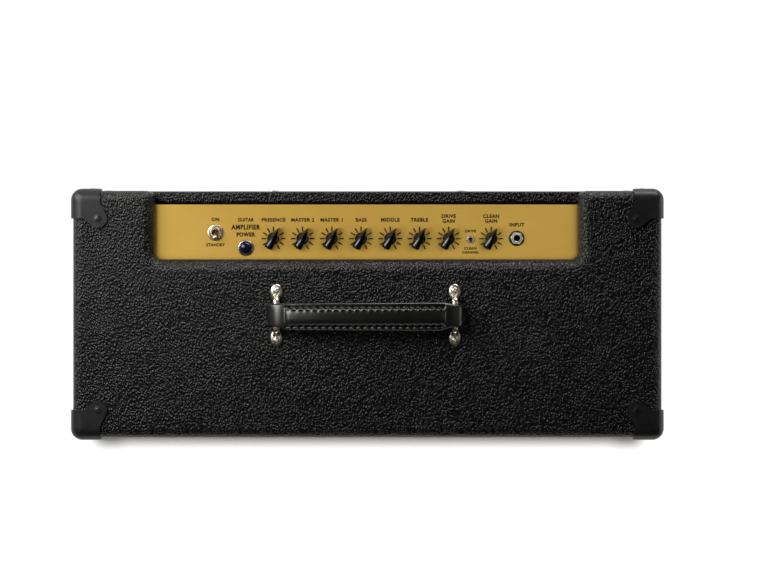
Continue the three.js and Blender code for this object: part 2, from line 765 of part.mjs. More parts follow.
function rearControls() {
  const housing = flangedHousing(inlet.width, inlet.height, inlet.depth, 5.5);
  place('mains_inlet', housing, blackPlastic, [inlet.x, 0, rearRow]);

  const cradle = flangedHousing(rocker.width, rocker.height, 12, 3.2);
  place('mains_switch_frame', cradle, blackPlastic, [rocker.x, 0, rearRow]);
  const pivot = [rocker.x, powerTray.rear - rocker.pivot, rearRow];
  place('mains_rocker', rockerPaddle(), blackPlastic, pivot, [radians(rocker.tilt), 0, 0]);

  const rear = powerTray.rear;
  const socket = jackSocket(inputJack, -sheet - 24, -sheet - GAP, 5.4, GAP);
  speakerJacks.forEach((x, i) => {
    place(`speaker_jack_${i + 1}`, socket, nickel, [x, rear, rearRow], [-Math.PI / 2, 0, 0]);
  });
}

// The rocker turns about X through its own middle; its two face halves meet at a shallow angle.
function rockerPaddle() {
  const reach = rocker.height / 2 - 1.6;
  const half = rocker.width / 2 - GAP;
  const rise = Math.tan(radians(rocker.tilt)) * reach;
  const side = outline([
    [-3, -3],
    [1.5, -reach],
    [4 + rise, -reach + 0.4],
    [4, 0],
    [4 + rise, reach - 0.4],
    [1.5, reach],
    [-3, 3],
  ]);
  return alongX(side, -half, half);
}

cabinetBoards();
front();
back();
protectors();
feet();
handle();
faceplate();
controlChassis();
controlBoard();
knobs();
toggles();
pilotLamp();
inputSocket();
powerChassis();
electronics();
rearControls();

export default amp;
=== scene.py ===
"""Looks of a valve guitar amplifier head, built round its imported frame.

The frame is in metres, +Z up, with X to the player's right and -Y the cloth front. Shapes here are
worked out in millimetres from the frame's own boxes, and piece() turns each into metres.
"""

import json
import math

import bmesh
import bpy
from mathutils import Matrix, Vector, noise


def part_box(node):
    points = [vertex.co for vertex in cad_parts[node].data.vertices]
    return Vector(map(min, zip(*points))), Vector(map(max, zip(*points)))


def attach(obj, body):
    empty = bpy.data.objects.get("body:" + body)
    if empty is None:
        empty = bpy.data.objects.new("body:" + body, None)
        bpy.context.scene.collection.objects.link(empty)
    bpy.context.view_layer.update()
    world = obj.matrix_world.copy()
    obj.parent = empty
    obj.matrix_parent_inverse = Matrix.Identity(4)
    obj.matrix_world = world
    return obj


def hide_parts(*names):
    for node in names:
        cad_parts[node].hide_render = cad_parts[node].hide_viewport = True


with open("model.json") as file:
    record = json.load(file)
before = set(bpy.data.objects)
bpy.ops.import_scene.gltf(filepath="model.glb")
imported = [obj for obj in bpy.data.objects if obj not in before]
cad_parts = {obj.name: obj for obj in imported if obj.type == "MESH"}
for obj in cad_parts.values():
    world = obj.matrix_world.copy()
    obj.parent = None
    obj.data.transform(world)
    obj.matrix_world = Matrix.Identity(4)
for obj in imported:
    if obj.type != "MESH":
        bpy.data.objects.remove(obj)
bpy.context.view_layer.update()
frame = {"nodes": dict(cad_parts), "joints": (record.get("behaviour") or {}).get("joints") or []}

MM = 0.001
FACET = math.radians(30)  # edges sharper than this stay crisp, or are rounded over
FAR = 60  # how far a cutter runs past what it cuts
WELD = 0.002  # points closer than this are one point

SIDES = {"left": -1, "right": 1}
DEPTHS = {"front": -1, "rear": 1}
LEVELS = {"lower": -1, "upper": 1}


# ---- Places ----


def box_of(*nodes):
    """The lowest and highest corners, in millimetres, of the box round some CAD nodes."""
    corners = [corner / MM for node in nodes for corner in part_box(node)]
    low = Vector([min(c[i] for c in corners) for i in range(3)])
    high = Vector([max(c[i] for c in corners) for i in range(3)])
    return low, high


def middle_of(*nodes):
    low, high = box_of(*nodes)
    return (low + high) / 2


def joint_place(name):
    joint = next(j for j in frame["joints"] if j["name"] == name)
    return Vector(joint["pos_m"]) / MM


# ---- Shapes, in millimetres ----


def block(x0, x1, y0, y1, z0, z1):
    bm = bmesh.new()
    bmesh.ops.create_cube(bm, size=1)
    place = Matrix.Translation(((x0 + x1) / 2, (y0 + y1) / 2, (z0 + z1) / 2))
    size = Matrix.Diagonal((x1 - x0, y1 - y0, z1 - z0, 1))
    bmesh.ops.transform(bm, matrix=place @ size, verts=bm.verts)
    return bm


def block_between(low, high, grow=0):
    return block(low.x - grow, high.x + grow, low.y - grow, high.y + grow, low.z - grow, high.z + grow)


def loft(rings, endless=False):
    """Skins a row of rings that have the same number of points, and closes its ends or its loop."""
    bm = bmesh.new()
    rows = [[bm.verts.new(point) for point in ring] for ring in rings]
    following = rows[1:] + rows[:1] if endless else rows[1:]
    for row, after in zip(rows, following):
        for i, vertex in enumerate(row):
            j = (i + 1) % len(row)
            bm.faces.new((vertex, row[j], after[j], after[i]))
    if not endless:
        bm.faces.new(rows[0])
        bm.faces.new(rows[-1])
    return tidy(bm)


def full_turn(count):
    """Angles spread evenly round a full turn."""
    return [math.tau * i / count for i in range(count)]


def angles_between(start, end, steps):
    """Evenly spread angles in radians, from one angle in degrees to another."""
    return [math.radians(start + (end - start) * i / steps) for i in range(steps + 1)]


def turned(profile, sides=32):
    """Turns (radius, height) pairs about Z. They run from axis to axis, or close on themselves."""
    bm = bmesh.new()
    rows = []
    for radius, z in profile:
        angles = full_turn(sides if radius > 0 else 1)
        rows.append([bm.verts.new((radius * math.cos(a), radius * math.sin(a), z)) for a in angles])
    following = rows[1:] if profile[0][0] == 0 else rows[1:] + rows[:1]
    for row, after in zip(rows, following):
        for i in range(sides):
            corners = [row[i % len(row)], row[(i + 1) % len(row)]]
            corners += [after[(i + 1) % len(after)], after[i % len(after)]]
            corners = list(dict.fromkeys(corners))
            if len(corners) > 2:
                bm.faces.new(corners)
    return tidy(bm)


def prism(points, z0, z1):
    return loft([[(x, y, z) for x, y in points] for z in (z0, z1)])


def tidy(bm):
    bmesh.ops.recalc_face_normals(bm, faces=bm.faces)
    return bm


def moved(bm, *matrices):
    """Moves a body by the matrices, the last one first."""
    whole = Matrix.Identity(4)
    for matrix in matrices:
        whole = whole @ matrix
    bm.transform(whole)
    if whole.determinant() < 0:
        bmesh.ops.reverse_faces(bm, faces=bm.faces)
    return bm


def shift(x=0, y=0, z=0):
    return Matrix.Translation((x, y, z))


def turn(degrees, axis):
    return Matrix.Rotation(math.radians(degrees), 4, axis)


def together(*bodies):
    """Several bodies as one bmesh, each still a closed body of its own."""
    whole = bmesh.new()
    for body in bodies:
        mesh = bpy.data.meshes.new("part")
        body.to_mesh(mesh)
        body.free()
        whole.from_mesh(mesh)
        bpy.data.meshes.remove(mesh)
    return whole


def copies(body, matrices):
    made = [moved(body.copy(), matrix) for matrix in matrices]
    body.free()
    return together(*made)


def loose_object(bm):
    mesh = bpy.data.meshes.new("loose")
    bm.to_mesh(mesh)
    bm.free()
    made = bpy.data.objects.new("loose", mesh)
    bpy.context.scene.collection.objects.link(made)
    return made


def with_modifiers(made):
    """The body that an object's modifiers make of its mesh. The object itself is removed."""
    result = bmesh.new()
    result.from_object(made, bpy.context.evaluated_depsgraph_get())
    bpy.data.objects.remove(made)
    return result


def combined(bm, other, operation="DIFFERENCE"):
    """Cuts, joins or intersects two closed bodies."""
    made, tool = loose_object(bm), loose_object(other)
    modifier = made.modifiers.new("combined", "BOOLEAN")
    modifier.operation = operation
    modifier.solver = "EXACT"
    modifier.use_self = True
    modifier.object = tool
    result = with_modifiers(made)
    bpy.data.objects.remove(tool)
    bmesh.ops.remove_doubles(result, verts=result.verts, dist=WELD)
    bmesh.ops.dissolve_degenerate(result, edges=result.edges, dist=WELD)
    return tidy(result)


def rounded(bm, width, segments, chosen=None, sharp=FACET):
    """Rounds over a body's sharp edges, or those of them that the test picks."""
    edges = [e for e in bm.edges if len(e.link_faces) == 2 and e.calc_face_angle() > sharp]
    if chosen:
        edges = [e for e in edges if chosen(e)]
    bmesh.ops.bevel(
        bm, geom=edges, offset=width, segments=segments, profile=0.5, affect="EDGES", clamp_overlap=True
    )
    return bm


def arc(x, y, radius, start, end, steps):
    """Points of an arc, from one angle to another in degrees."""
    angles = angles_between(start, end, steps)
    return [(x + radius * math.cos(a), y + radius * math.sin(a)) for a in angles]


def oval(rx, ry, z):
    return [(rx * math.cos(a), ry * math.sin(a), z) for a in full_turn(40)]


def blended(a, b, share):
    share = min(max(share, 0), 1)
    share = share * share * (3 - 2 * share)
    return a + (b - a) * share


def along(table, x):
    """Reads a smooth value off a short table of (place, value) pairs."""
    for (x0, v0), (x1, v1) in zip(table, table[1:]):
        if x <= x1:
            return blended(v0, v1, (x - x0) / (x1 - x0))
    return table[-1][1]


def piece(name, bm, material, body="cabinet", stands_for=(), smooth=FACET):
    """Turns a millimetre body into a named piece that rides on a CAD body."""
    bm.transform(Matrix.Scale(MM, 4))
    made = loose_object(bm)
    made.name = name
    made.data.name = name
    made.data.materials.append(material)
    made.data.shade_smooth()
    made.data.set_sharp_from_angle(angle=smooth)
    even = made.modifiers.new("even", "WEIGHTED_NORMAL")
    even.keep_sharp = True
    settle(made)
    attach(made, body)
    if stands_for:
        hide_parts(*stands_for)
    return made


def settle(made):
    """Applies an object's modifiers to its mesh."""
    graph = bpy.context.evaluated_depsgraph_get()
    mesh = bpy.data.meshes.new_from_object(made.evaluated_get(graph))
    made.modifiers.clear()
    old = made.data
    made.data = mesh
    mesh.name = made.name
    bpy.data.meshes.remove(old)


# ---- Procedural materials ----


class Finish:
    """One material, built node by node. Sizes are in millimetres on the object."""

    def __init__(self, name, **surface):
        self.material = bpy.data.materials.new(name)
        self.material.use_nodes = True
        self.tree = self.material.node_tree
        self.shader = self.tree.nodes["Principled BSDF"]
        self.place = self.node("TexCoord").outputs["Object"]
        self.normal = None
        for key, value in surface.items():
            self.shader.inputs[key.replace("_", " ")].default_value = value

    def node(self, kind, inputs=None, **settings):
        made = self.tree.nodes.new("ShaderNode" + kind)
        for key, value in settings.items():
            setattr(made, key, value)
        for key, value in (inputs or {}).items():
            self.feed(made.inputs[key], value)
        return made

    def feed(self, socket, value):
        if isinstance(value, bpy.types.NodeSocket):
            self.tree.links.new(value, socket)
        else:
            socket.default_value = value

    def stretched(self, stretch=(1, 1, 1), spin=(0, 0, 0), place=None):
        angles = [math.radians(a) for a in spin]
        inputs = {"Vector": place or self.place, "Scale": stretch, "Rotation": angles}
        return self.node("Mapping", inputs).outputs["Vector"]

    def pattern(self, kind, size, place, inputs, **settings):
        """A pattern whose features are about that many millimetres across."""
        inputs = {"Vector": place or self.place, "Scale": 1 / (size * MM), **inputs}
        return self.node(kind, inputs, **settings).outputs

    def noise(self, size, detail=2, rough=0.5, place=None, swirl=0):
        inputs = {"Detail": detail, "Roughness": rough, "Distortion": swirl}
        return self.pattern("TexNoise", size, place, inputs)["Fac"]

    def cells(self, size, place, feature="F1"):
        return self.pattern("TexVoronoi", size, place, {}, feature=feature)["Distance"]

    def waves(self, size, place=None, axis="X", swirl=0):
        inputs = {"Scale": 1 / (size * MM) * math.tau / 20, "Distortion": swirl}
        return self.pattern("TexWave", size, place, inputs, bands_direction=axis)["Fac"]

    def vector(self, operation, inputs):
        return self.node("VectorMath", inputs, operation=operation).outputs["Vector"]

    def warped(self, size, amount):
        """The place, pushed about by slow noise, so that a pattern flows."""
        push = self.pattern("TexNoise", size, None, {"Detail": 1.0})["Color"]
        centred = self.vector("SUBTRACT", {0: push, 1: (0.5, 0.5, 0.5)})
        scaled = self.vector("SCALE", {0: centred, "Scale": amount * MM})
        return self.vector("ADD", {0: self.place, 1: scaled})

    def ranged(self, value, low, high, start=0.0, end=1.0):
        """Runs from low to high as the value runs from start to end."""
        inputs = {"Value": value, "From Min": start, "From Max": end, "To Min": low, "To Max": high}
        return self.node("MapRange", inputs).outputs["Result"]

    def sum(self, first, second, operation="ADD"):
        return self.node("Math", {0: first, 1: second}, operation=operation).outputs["Value"]

    def mixed(self, share, first, second):
        made = self.node("Mix", {"Factor": share}, data_type="RGBA")
        self.feed(made.inputs[6], first)
        self.feed(made.inputs[7], second)
        return made.outputs[2]

    def bump(self, height, depth, strength=1.0):
        """Adds relief of that depth, in millimetres, on top of any relief so far."""
        inputs = {"Height": height, "Distance": depth * MM, "Strength": strength}
        if self.normal:
            inputs["Normal"] = self.normal
        self.normal = self.node("Bump", inputs).outputs["Normal"]
        self.tree.links.new(self.normal, self.shader.inputs["Normal"])

    def colour(self, share, first, second):
        self.feed(self.shader.inputs["Base Color"], self.mixed(share, first, second))

    def roughness(self, value, *span):
        self.feed(self.shader.inputs["Roughness"], self.ranged(value, *span))


def rgb(red, green, blue):
    """A colour given as it looks on a screen, from 0 to 255, turned into linear light."""
    shares = [c / 255 for c in (red, green, blue)]
    linear = [s / 12.92 if s <= 0.04045 else ((s + 0.055) / 1.055) ** 2.4 for s in shares]
    return (*linear, 1.0)


def vinyl_finish():
    """Black covering with a flowing grain of small, long pebbles that catch the light."""
    look = Finish("black_vinyl_covering", Specular_IOR_Level=0.32)
    flow = look.stretched(spin=(0, 0, -18), place=look.warped(46, 9))
    grainy = look.stretched((1.0, 0.62, 0.8), place=flow)
    grain = look.cells(1.8, grainy)
    pebbles = look.ranged(look.sum(grain, grain, "MULTIPLY"), 1, 0, 0.0, 0.4)
    creases = look.noise(1.3, 1, 0.5, grainy)
    height = look.sum(pebbles, look.ranged(creases, 0, 0.22, 0.35, 0.65))
    # The colour is darker in the crevices between the pebbles: painted shade in the grain's hollows.
    look.colour(look.ranged(height, 0, 1, 0.5, 1.35), rgb(5, 5, 6), rgb(13, 13, 14))
    look.roughness(height, 0.34, 0.24, 0.3, 1.3)
    look.bump(height, 0.64)
    return look.material


def moulded_finish(name, colour, roughness, depth=0.05, size=0.6, shine=0.5):
    """Moulded plastic with a fine skin and faint scuffs."""
    look = Finish(name, Specular_IOR_Level=shine)
    skin = look.noise(size, 2, 0.6)
    scuffs = look.noise(14, 4, 0.7)
    lighter = tuple(c * 1.35 for c in colour[:3]) + (1.0,)
    look.colour(look.ranged(scuffs, 0, 1, 0.35, 0.75), colour, lighter)
    look.roughness(scuffs, roughness - 0.05, roughness + 0.08, 0.3, 0.7)
    look.bump(skin, depth, 0.6)
    return look.material


def rubber_finish():
    look = Finish("black_rubber")
    dust = look.noise(5, 4, 0.7)
    look.colour(look.ranged(dust, 0, 1, 0.45, 0.8), rgb(22, 22, 22), rgb(44, 43, 42))
    look.roughness(dust, 0.75, 0.95, 0.3, 0.7)
    look.bump(look.noise(0.8, 3, 0.6), 0.08)
    return look.material


def leather_finish():
    """Smooth black strap leather: fine pores, faint stretch lines and a little wear."""
    look = Finish("black_strap_leather", Coat_Weight=0.4, Coat_Roughness=0.33, Specular_IOR_Level=0.35)
    pores = look.cells(0.7, look.warped(3, 1), feature="SMOOTH_F1")
    wear = look.noise(18, 4, 0.65)
    look.colour(look.ranged(wear, 0, 1, 0.4, 0.75), rgb(7, 7, 7), rgb(14, 13, 12))
    look.roughness(wear, 0.28, 0.36, 0.3, 0.7)
    look.bump(pores, 0.05, 0.7)
    look.bump(look.noise(6, 3, 0.6, look.stretched((0.35, 1, 1))), 0.15, 0.6)
    return look.material


def thread_finish():
    look = Finish("black_thread")
    strands = look.waves(0.5, look.stretched(spin=(0, 0, 35)), "X")
    look.colour(strands, rgb(20, 20, 20), rgb(62, 60, 58))
    look.roughness(look.noise(0.4), 0.45, 0.7)
    look.bump(strands, 0.12)
    return look.material


def metal_finish(name, colour, roughness, grain=(1, 1, 1), depth=0.012):
    """Plated or bare metal, with a faint polishing grain and cloudy tarnish."""
    look = Finish(name, Metallic=1.0)
    lines = look.noise(0.5, 3, 0.6, look.stretched(grain))
    cloud = look.noise(7, 4, 0.65)
    duller = tuple(c * 0.85 for c in colour[:3]) + (1.0,)
    look.colour(look.ranged(cloud, 0, 1, 0.35, 0.75), colour, duller)
    look.roughness(cloud, roughness * 0.8, roughness * 1.35, 0.3, 0.7)
    look.bump(lines, depth, 0.5)
    return look.material


def gold_panel_finish():
    """Satin gold anodising: a fine lengthwise brushing under an even, slightly cloudy colour."""
    look = Finish("gold_panel", Metallic=1.0, Coat_Weight=1.0, Coat_Roughness=0.46)
    brushed = look.noise(0.35, 3, 0.7, look.stretched((0.02, 1, 1)))
    cloud = look.noise(55, 2, 0.5)
    tone = look.mixed(look.ranged(cloud, 0, 1, 0.3, 0.7), rgb(203, 165, 64), rgb(197, 158, 56))
    look.colour(look.ranged(brushed, 0, 0.2, 0.3, 0.7), tone, rgb(180, 140, 44))
    look.roughness(brushed, 0.50, 0.58, 0.3, 0.7)
    look.bump(brushed, 0.01, 0.4)
    return look.material


def ink_finish():
    look = Finish("panel_ink", Specular_IOR_Level=0.1)
    patchy = look.noise(0.7, 3, 0.6)
    look.colour(look.ranged(patchy, 0, 1, 0.4, 0.8), rgb(5, 4, 2), rgb(16, 11, 6))
    look.roughness(patchy, 0.5, 0.7)
    look.bump(patchy, 0.01)
    return look.material


def knob_finish():
    """Glossy black phenolic, with the faint swirl of its moulding and fine handling marks."""
    look = Finish("glossy_black_knob", Specular_IOR_Level=0.4)
    marks = look.noise(2.2, 4, 0.7)
    look.colour(look.ranged(marks, 0, 1, 0.35, 0.8), rgb(5, 5, 5), rgb(13, 13, 12))
    look.roughness(marks, 0.1, 0.2, 0.3, 0.7)
    look.bump(look.noise(1.1, 2, 0.5), 0.015, 0.5)
    return look.material


def jewel_finish():
    look = Finish("dark_blue_lens", Specular_IOR_Level=0.3, Roughness=0.2)
    swirl = look.noise(3.5, 2, 0.5)
    look.colour(look.ranged(swirl, 0, 1, 0.3, 0.7), rgb(7, 5, 28), rgb(18, 12, 52))
    look.bump(look.noise(2.0, 1, 0.5), 0.03, 0.4)
    return look.material


def cloth_finish():
    """Dark woven speaker cloth: an open basket weave with paler flecks in its crossing threads."""
    look = Finish("woven_grille_cloth", Sheen_Weight=0.25, Sheen_Roughness=0.5)
    warp = look.waves(1.6, axis="X")
    weft = look.waves(1.6, axis="Z")
    weave = look.sum(warp, weft, "MULTIPLY")
    fleck = look.noise(1.6, 2, 0.7, look.stretched((0.35, 1, 1)))
    base = look.mixed(look.ranged(weave, 0, 1), rgb(20, 19, 18), rgb(64, 60, 55))
    look.colour(look.ranged(fleck, 0, 0.8, 0.62, 0.72), base, rgb(150, 142, 126))
    look.roughness(fleck, 0.8, 0.95)
    look.bump(weave, 0.4)
    return look.material


def cord_finish():
    """Gold piping cord: fine fibres that follow its twist."""
    look = Finish("gold_piping_cord")
    fibres = look.noise(0.5, 3, 0.7, look.stretched((1, 1, 1), (0, 35, 0)))
    look.colour(fibres, rgb(138, 104, 40), rgb(214, 178, 98))
    look.roughness(fibres, 0.42, 0.65)
    look.bump(fibres, 0.1)
    return look.material


def plywood_finish():
    look = Finish("bare_plywood")
    rings = look.noise(5, 4, 0.6, look.stretched((0.05, 1, 1)), 0.8)
    look.colour(look.ranged(rings, 0, 1, 0.3, 0.7), rgb(196, 162, 112), rgb(158, 120, 74))
    look.roughness(rings, 0.6, 0.8)
    look.bump(rings, 0.15)
    return look.material


def board_finish():
    """Green lacquered board with copper tracks showing through as paler lines."""
    look = Finish("circuit_board")
    tracks = look.waves(5, look.warped(20, 5), "Y", 1.5)
    lacquer = look.noise(30, 2, 0.5)
    base = look.mixed(lacquer, rgb(22, 70, 38), rgb(34, 88, 48))
    look.colour(look.ranged(tracks, 0, 0.6, 0.62, 0.7), base, rgb(92, 132, 72))
    look.roughness(lacquer, 0.3, 0.45)
    look.bump(tracks, 0.03)
    return look.material


def glass_finish():
    look = Finish("valve_glass", Transmission_Weight=1.0, IOR=1.48)
    haze = look.noise(12, 3, 0.6)
    look.colour(haze, rgb(236, 242, 244), rgb(214, 222, 226))
    look.roughness(haze, 0.01, 0.07, 0.3, 0.7)
    look.bump(look.noise(16, 1, 0.4), 0.1, 0.4)
    return look.material


def white_ink_finish():
    look = Finish("white_marking")
    patchy = look.noise(0.6, 3, 0.6)
    look.colour(patchy, rgb(206, 206, 200), rgb(232, 232, 228))
    look.roughness(patchy, 0.45, 0.65)
    return look.material


def floor_finish():
    """A plain white paper sweep, with a little light of its own to keep its shadows soft."""
    look = Finish("white_floor", Emission_Strength=0.12, Emission_Color=(1, 1, 1, 1))
    fibres = look.noise(3, 3, 0.6)
    look.colour(fibres, (0.86, 0.86, 0.86, 1), (0.9, 0.9, 0.9, 1))
    look.roughness(fibres, 0.85, 0.95)
    return look.material


VINYL = vinyl_finish()
CORNER = moulded_finish("corner_moulding", rgb(20, 20, 21), 0.4, shine=0.3)
BLACK_PLASTIC = moulded_finish("black_moulding", rgb(24, 24, 24), 0.42)
WASHER = moulded_finish("black_washer", rgb(20, 19, 18), 0.6)
RUBBER = rubber_finish()
LEATHER = leather_finish()
THREAD = thread_finish()
NICKEL = metal_finish("polished_nickel", rgb(206, 198, 186), 0.27)
WARM_NICKEL = metal_finish("warm_nickel", rgb(208, 190, 162), 0.34)
DARK_SCREW = metal_finish("dark_screw_steel", rgb(66, 64, 61), 0.34)
ZINC = metal_finish("zinc_plated_steel", rgb(176, 179, 178), 0.42, (1, 0.05, 1), 0.02)
BLACK_STEEL = moulded_finish("black_painted_steel", rgb(20, 20, 20), 0.5, 0.04, 0.9)
IRON = moulded_finish("black_lacquered_iron", rgb(26, 26, 27), 0.5, 0.15, 1.6)
GOLD = gold_panel_finish()
INK = ink_finish()
WHITE_INK = white_ink_finish()
KNOB = knob_finish()
JEWEL = jewel_finish()
CLOTH = cloth_finish()
CORD = cord_finish()
PLYWOOD = plywood_finish()
BOARD = board_finish()
GLASS = glass_finish()
GREY_PLATE = metal_finish("grey_valve_plate", rgb(96, 96, 98), 0.55)


# ---- Screws ----


def cross_screw(radius, height, arms=0.62, width=0.17):
    """A domed screw head with a cross-shaped recess, standing on z = 0."""
    rising = angles_between(0, 90, 6)[:-1]
    dome = [(radius * math.cos(a), height * (0.25 + 0.75 * math.sin(a))) for a in rising]
    head = turned([(0, 0), (radius, 0), *dome, (0, height)], 24)
    reach = radius * arms
    slot = radius * width
    arm = block(-reach, reach, -slot, slot, height * 0.35, height + 1)
    other = moved(arm.copy(), turn(90, "Z"))
    return combined(head, together(arm, other))


def cup_washer(r):
    return turned([(r * 0.5, 0), (r, 0), (r * 0.97, 0.5), (r * 0.72, 1.3), (r * 0.6, 1.25)], 24)


# ---- Cabinet ----

BOARDS = ["cabinet_top", "cabinet_bottom", "cabinet_left_side", "cabinet_right_side"]
outer_low, outer_high = box_of(*BOARDS)
board = box_of("cabinet_left_side")[1].x - outer_low.x
inner_low = Vector((outer_low.x + board, outer_low.y - FAR, outer_low.z + board))
inner_high = Vector((outer_high.x - board, outer_high.y + FAR, outer_high.z - board))
plate_low, plate_high = box_of("faceplate")
PLATE_LIP = 3  # how far the faceplate runs under the roof
EDGE = 9.5  # roundover of the covered edges
RIM = 13  # wider roundover of the recess's upper rim
MOUTH = 3  # softer rounding at the front and back openings
COVER = 0.8  # the covering on the back panels stands proud of the bare board
# The back panels' windows: half the width, then the lower and the upper edge.
VENT_WINDOW = (200, 125, 180)
SOCKET_WINDOW = (225, 37, 75)
recess_left = plate_low.x + PLATE_LIP
recess_right = plate_high.x - PLATE_LIP
recess_front = plate_low.y + PLATE_LIP


def recess_outline():
    corner = 7
    front = recess_front + corner
    left = arc(recess_left + corner, front, corner, 180, 270, 8)
    right = arc(recess_right - corner, front, corner, 270, 360, 8)
    back = outer_high.y + FAR
    return [(recess_left, back), *left, *right, (recess_right, back)]


def covering():
    """The wrapped cabinet: one skin over the four boards, rounded over at every covered edge."""
    shell = combined(block_between(outer_low, outer_high), block_between(inner_low, inner_high))
    recess = prism(recess_outline(), inner_high.z - 5, outer_high.z + FAR)
    shell = combined(shell, recess)

    def near(value, target):
        return abs(value - target) < 0.05

    def outer_faces(vertex):
        point = vertex.co
        return {
            axis + side
            for axis in "xyz"
            for side, limit in (("-", outer_low), ("+", outer_high))
            if near(getattr(point, axis), getattr(limit, axis))
        }

    def rounding(edge):
        a, b = edge.verts
        shared = outer_faces(a) & outer_faces(b)
        if edge.calc_face_angle(0) < FACET and not near(a.co.z, b.co.z):
            return 0
        if len(shared) >= 2:
            return EDGE / RIM
        in_x = all(recess_left - 1 < v.co.x < recess_right + 1 for v in (a, b))
        if "z+" in shared and in_x and min(a.co.y, b.co.y) > recess_front - 1:
            return 1
        at_recess = all(near(v.co.x, recess_left) or near(v.co.x, recess_right) for v in (a, b))
        if "y+" in shared and at_recess:
            return EDGE / RIM
        if shared & {"y-", "y+"}:
            return MOUTH / RIM
        return 0

    weight = shell.edges.layers.float.new("bevel_weight_edge")
    for edge in shell.edges:
        edge[weight] = rounding(edge)
    made = loose_object(shell)
    soften = made.modifiers.new("roundover", "BEVEL")
    soften.limit_method = "WEIGHT"
    soften.width = RIM
    soften.segments = 6
    soften.use_clamp_overlap = False
    piece("cabinet_covering", tidy(with_modifiers(made)), VINYL, stands_for=BOARDS)


def back_panel(node, window):
    """A covered board closing the back, with its edges wrapped round."""
    low, high = box_of(node)
    x, z0, z1 = window
    body = combined(block_between(low, high), block(-x, x, low.y - FAR, high.y + FAR, z0, z1))
    rounded(body, 2.2, 3)
    body = moved(body, shift(y=COVER))
    piece(node + "_covered", body, VINYL, stands_for=[node])


def back_screws():
    """Nickel screws in cup washers round both panels."""
    high = box_of("back_panel_upper")[1]
    low = box_of("back_panel_lower")[0]
    split = box_of("back_panel_lower")[1].z
    margin = 11  # from a panel's edge to its screws
    columns = [-0.94, -0.34, 0.34, 0.94]  # shares of the half width
    rows = [low.z + margin, split - margin, split + margin, high.z - margin]
    facing = turn(-90, "X")
    places = [
        shift(high.x * share, high.y + COVER - 0.2, z) @ facing @ turn(23 * i + 40 * z, "Z")
        for i, share in enumerate(columns)
        for z in rows
        if z > rows[0] or abs(share) > 0.5
    ]
    piece("back_screws", copies(cross_screw(3.4, 1.8), places), NICKEL)
    piece("back_cup_washers", copies(cup_washer(6), places), NICKEL)


def vent_sheet():
    """Black sheet with rows of round holes, built hole by hole."""
    low, high = box_of("rear_vent_mesh")
    pitch = 6
    hole = 2.1  # its radius
    sides = 8
    columns = int((high.x - low.x - pitch) / pitch)
    rows = int((high.z - low.z - pitch) / pitch)
    bm = bmesh.new()
    middle = (low + high) / 2
    square = [(1, 0), (1, 1), (0, 1), (-1, 1), (-1, 0), (-1, -1), (0, -1), (1, -1)]
    for row in range(rows):
        for column in range(columns):
            x = middle.x + (column - (columns - 1) / 2) * pitch
            z = middle.z + (row - (rows - 1) / 2) * pitch
            rings = []
            for y in (low.y, high.y):
                outer = [(x + a * pitch / 2, y, z + b * pitch / 2) for a, b in square]
                inner = [(x + hole * math.cos(a), y, z + hole * math.sin(a)) for a in full_turn(sides)]
                rings.append([[bm.verts.new(p) for p in ring] for ring in (outer, inner)])
            (outer0, inner0), (outer1, inner1) = rings
            for i in range(sides):
                j = (i + 1) % sides
                bm.faces.new((outer0[i], outer0[j], inner0[j], inner0[i]))
                bm.faces.new((outer1[i], inner1[i], inner1[j], outer1[j]))
                bm.faces.new((inner0[i], inner0[j], inner1[j], inner1[i]))
    bmesh.ops.remove_doubles(bm, verts=bm.verts, dist=0.01)
    rim = [e for e in bm.edges if len(e.link_faces) == 1]
    bmesh.ops.bridge_loops(bm, edges=rim)
    piece("vent_sheet", tidy(bm), BLACK_STEEL, stands_for=["rear_vent_mesh"])


def grille():
    """Cloth stretched over the baffle: a thin sheet that turns back round its edges."""
    low, high = box_of("grille_cloth")
    columns, rows = 96, 34
    thickness = high.y - low.y

    def skin(at):
        grid = []
        for row in range(rows + 1):
            z = low.z + (high.z - low.z) * row / rows
            line = []
            for column in range(columns + 1):
                x = low.x + (high.x - low.x) * column / columns
                edge = min(x - low.x, high.x - x, z - low.z, high.z - z)
                dip = 0.35 * math.exp(-edge / 3) + 0.12 * noise.noise(Vector((x / 60, z / 40, 0)))
                line.append((x, at + (dip if at == low.y else 0), z))
            grid.append(line)
        return grid

    bm = bmesh.new()
    for at in (low.y, low.y + thickness):
        grid = [[bm.verts.new(p) for p in line] for line in skin(at)]
        for row in range(rows):
            for column in range(columns):
                near, far = grid[row][column : column + 2], grid[row + 1][column : column + 2]
                bm.faces.new((*near, *reversed(far)))
    rim = [e for e in bm.edges if len(e.link_faces) == 1]
    bmesh.ops.bridge_loops(bm, edges=rim)
    cloth = piece("grille_cloth_woven", tidy(bm), CLOTH, stands_for=["grille_cloth"])


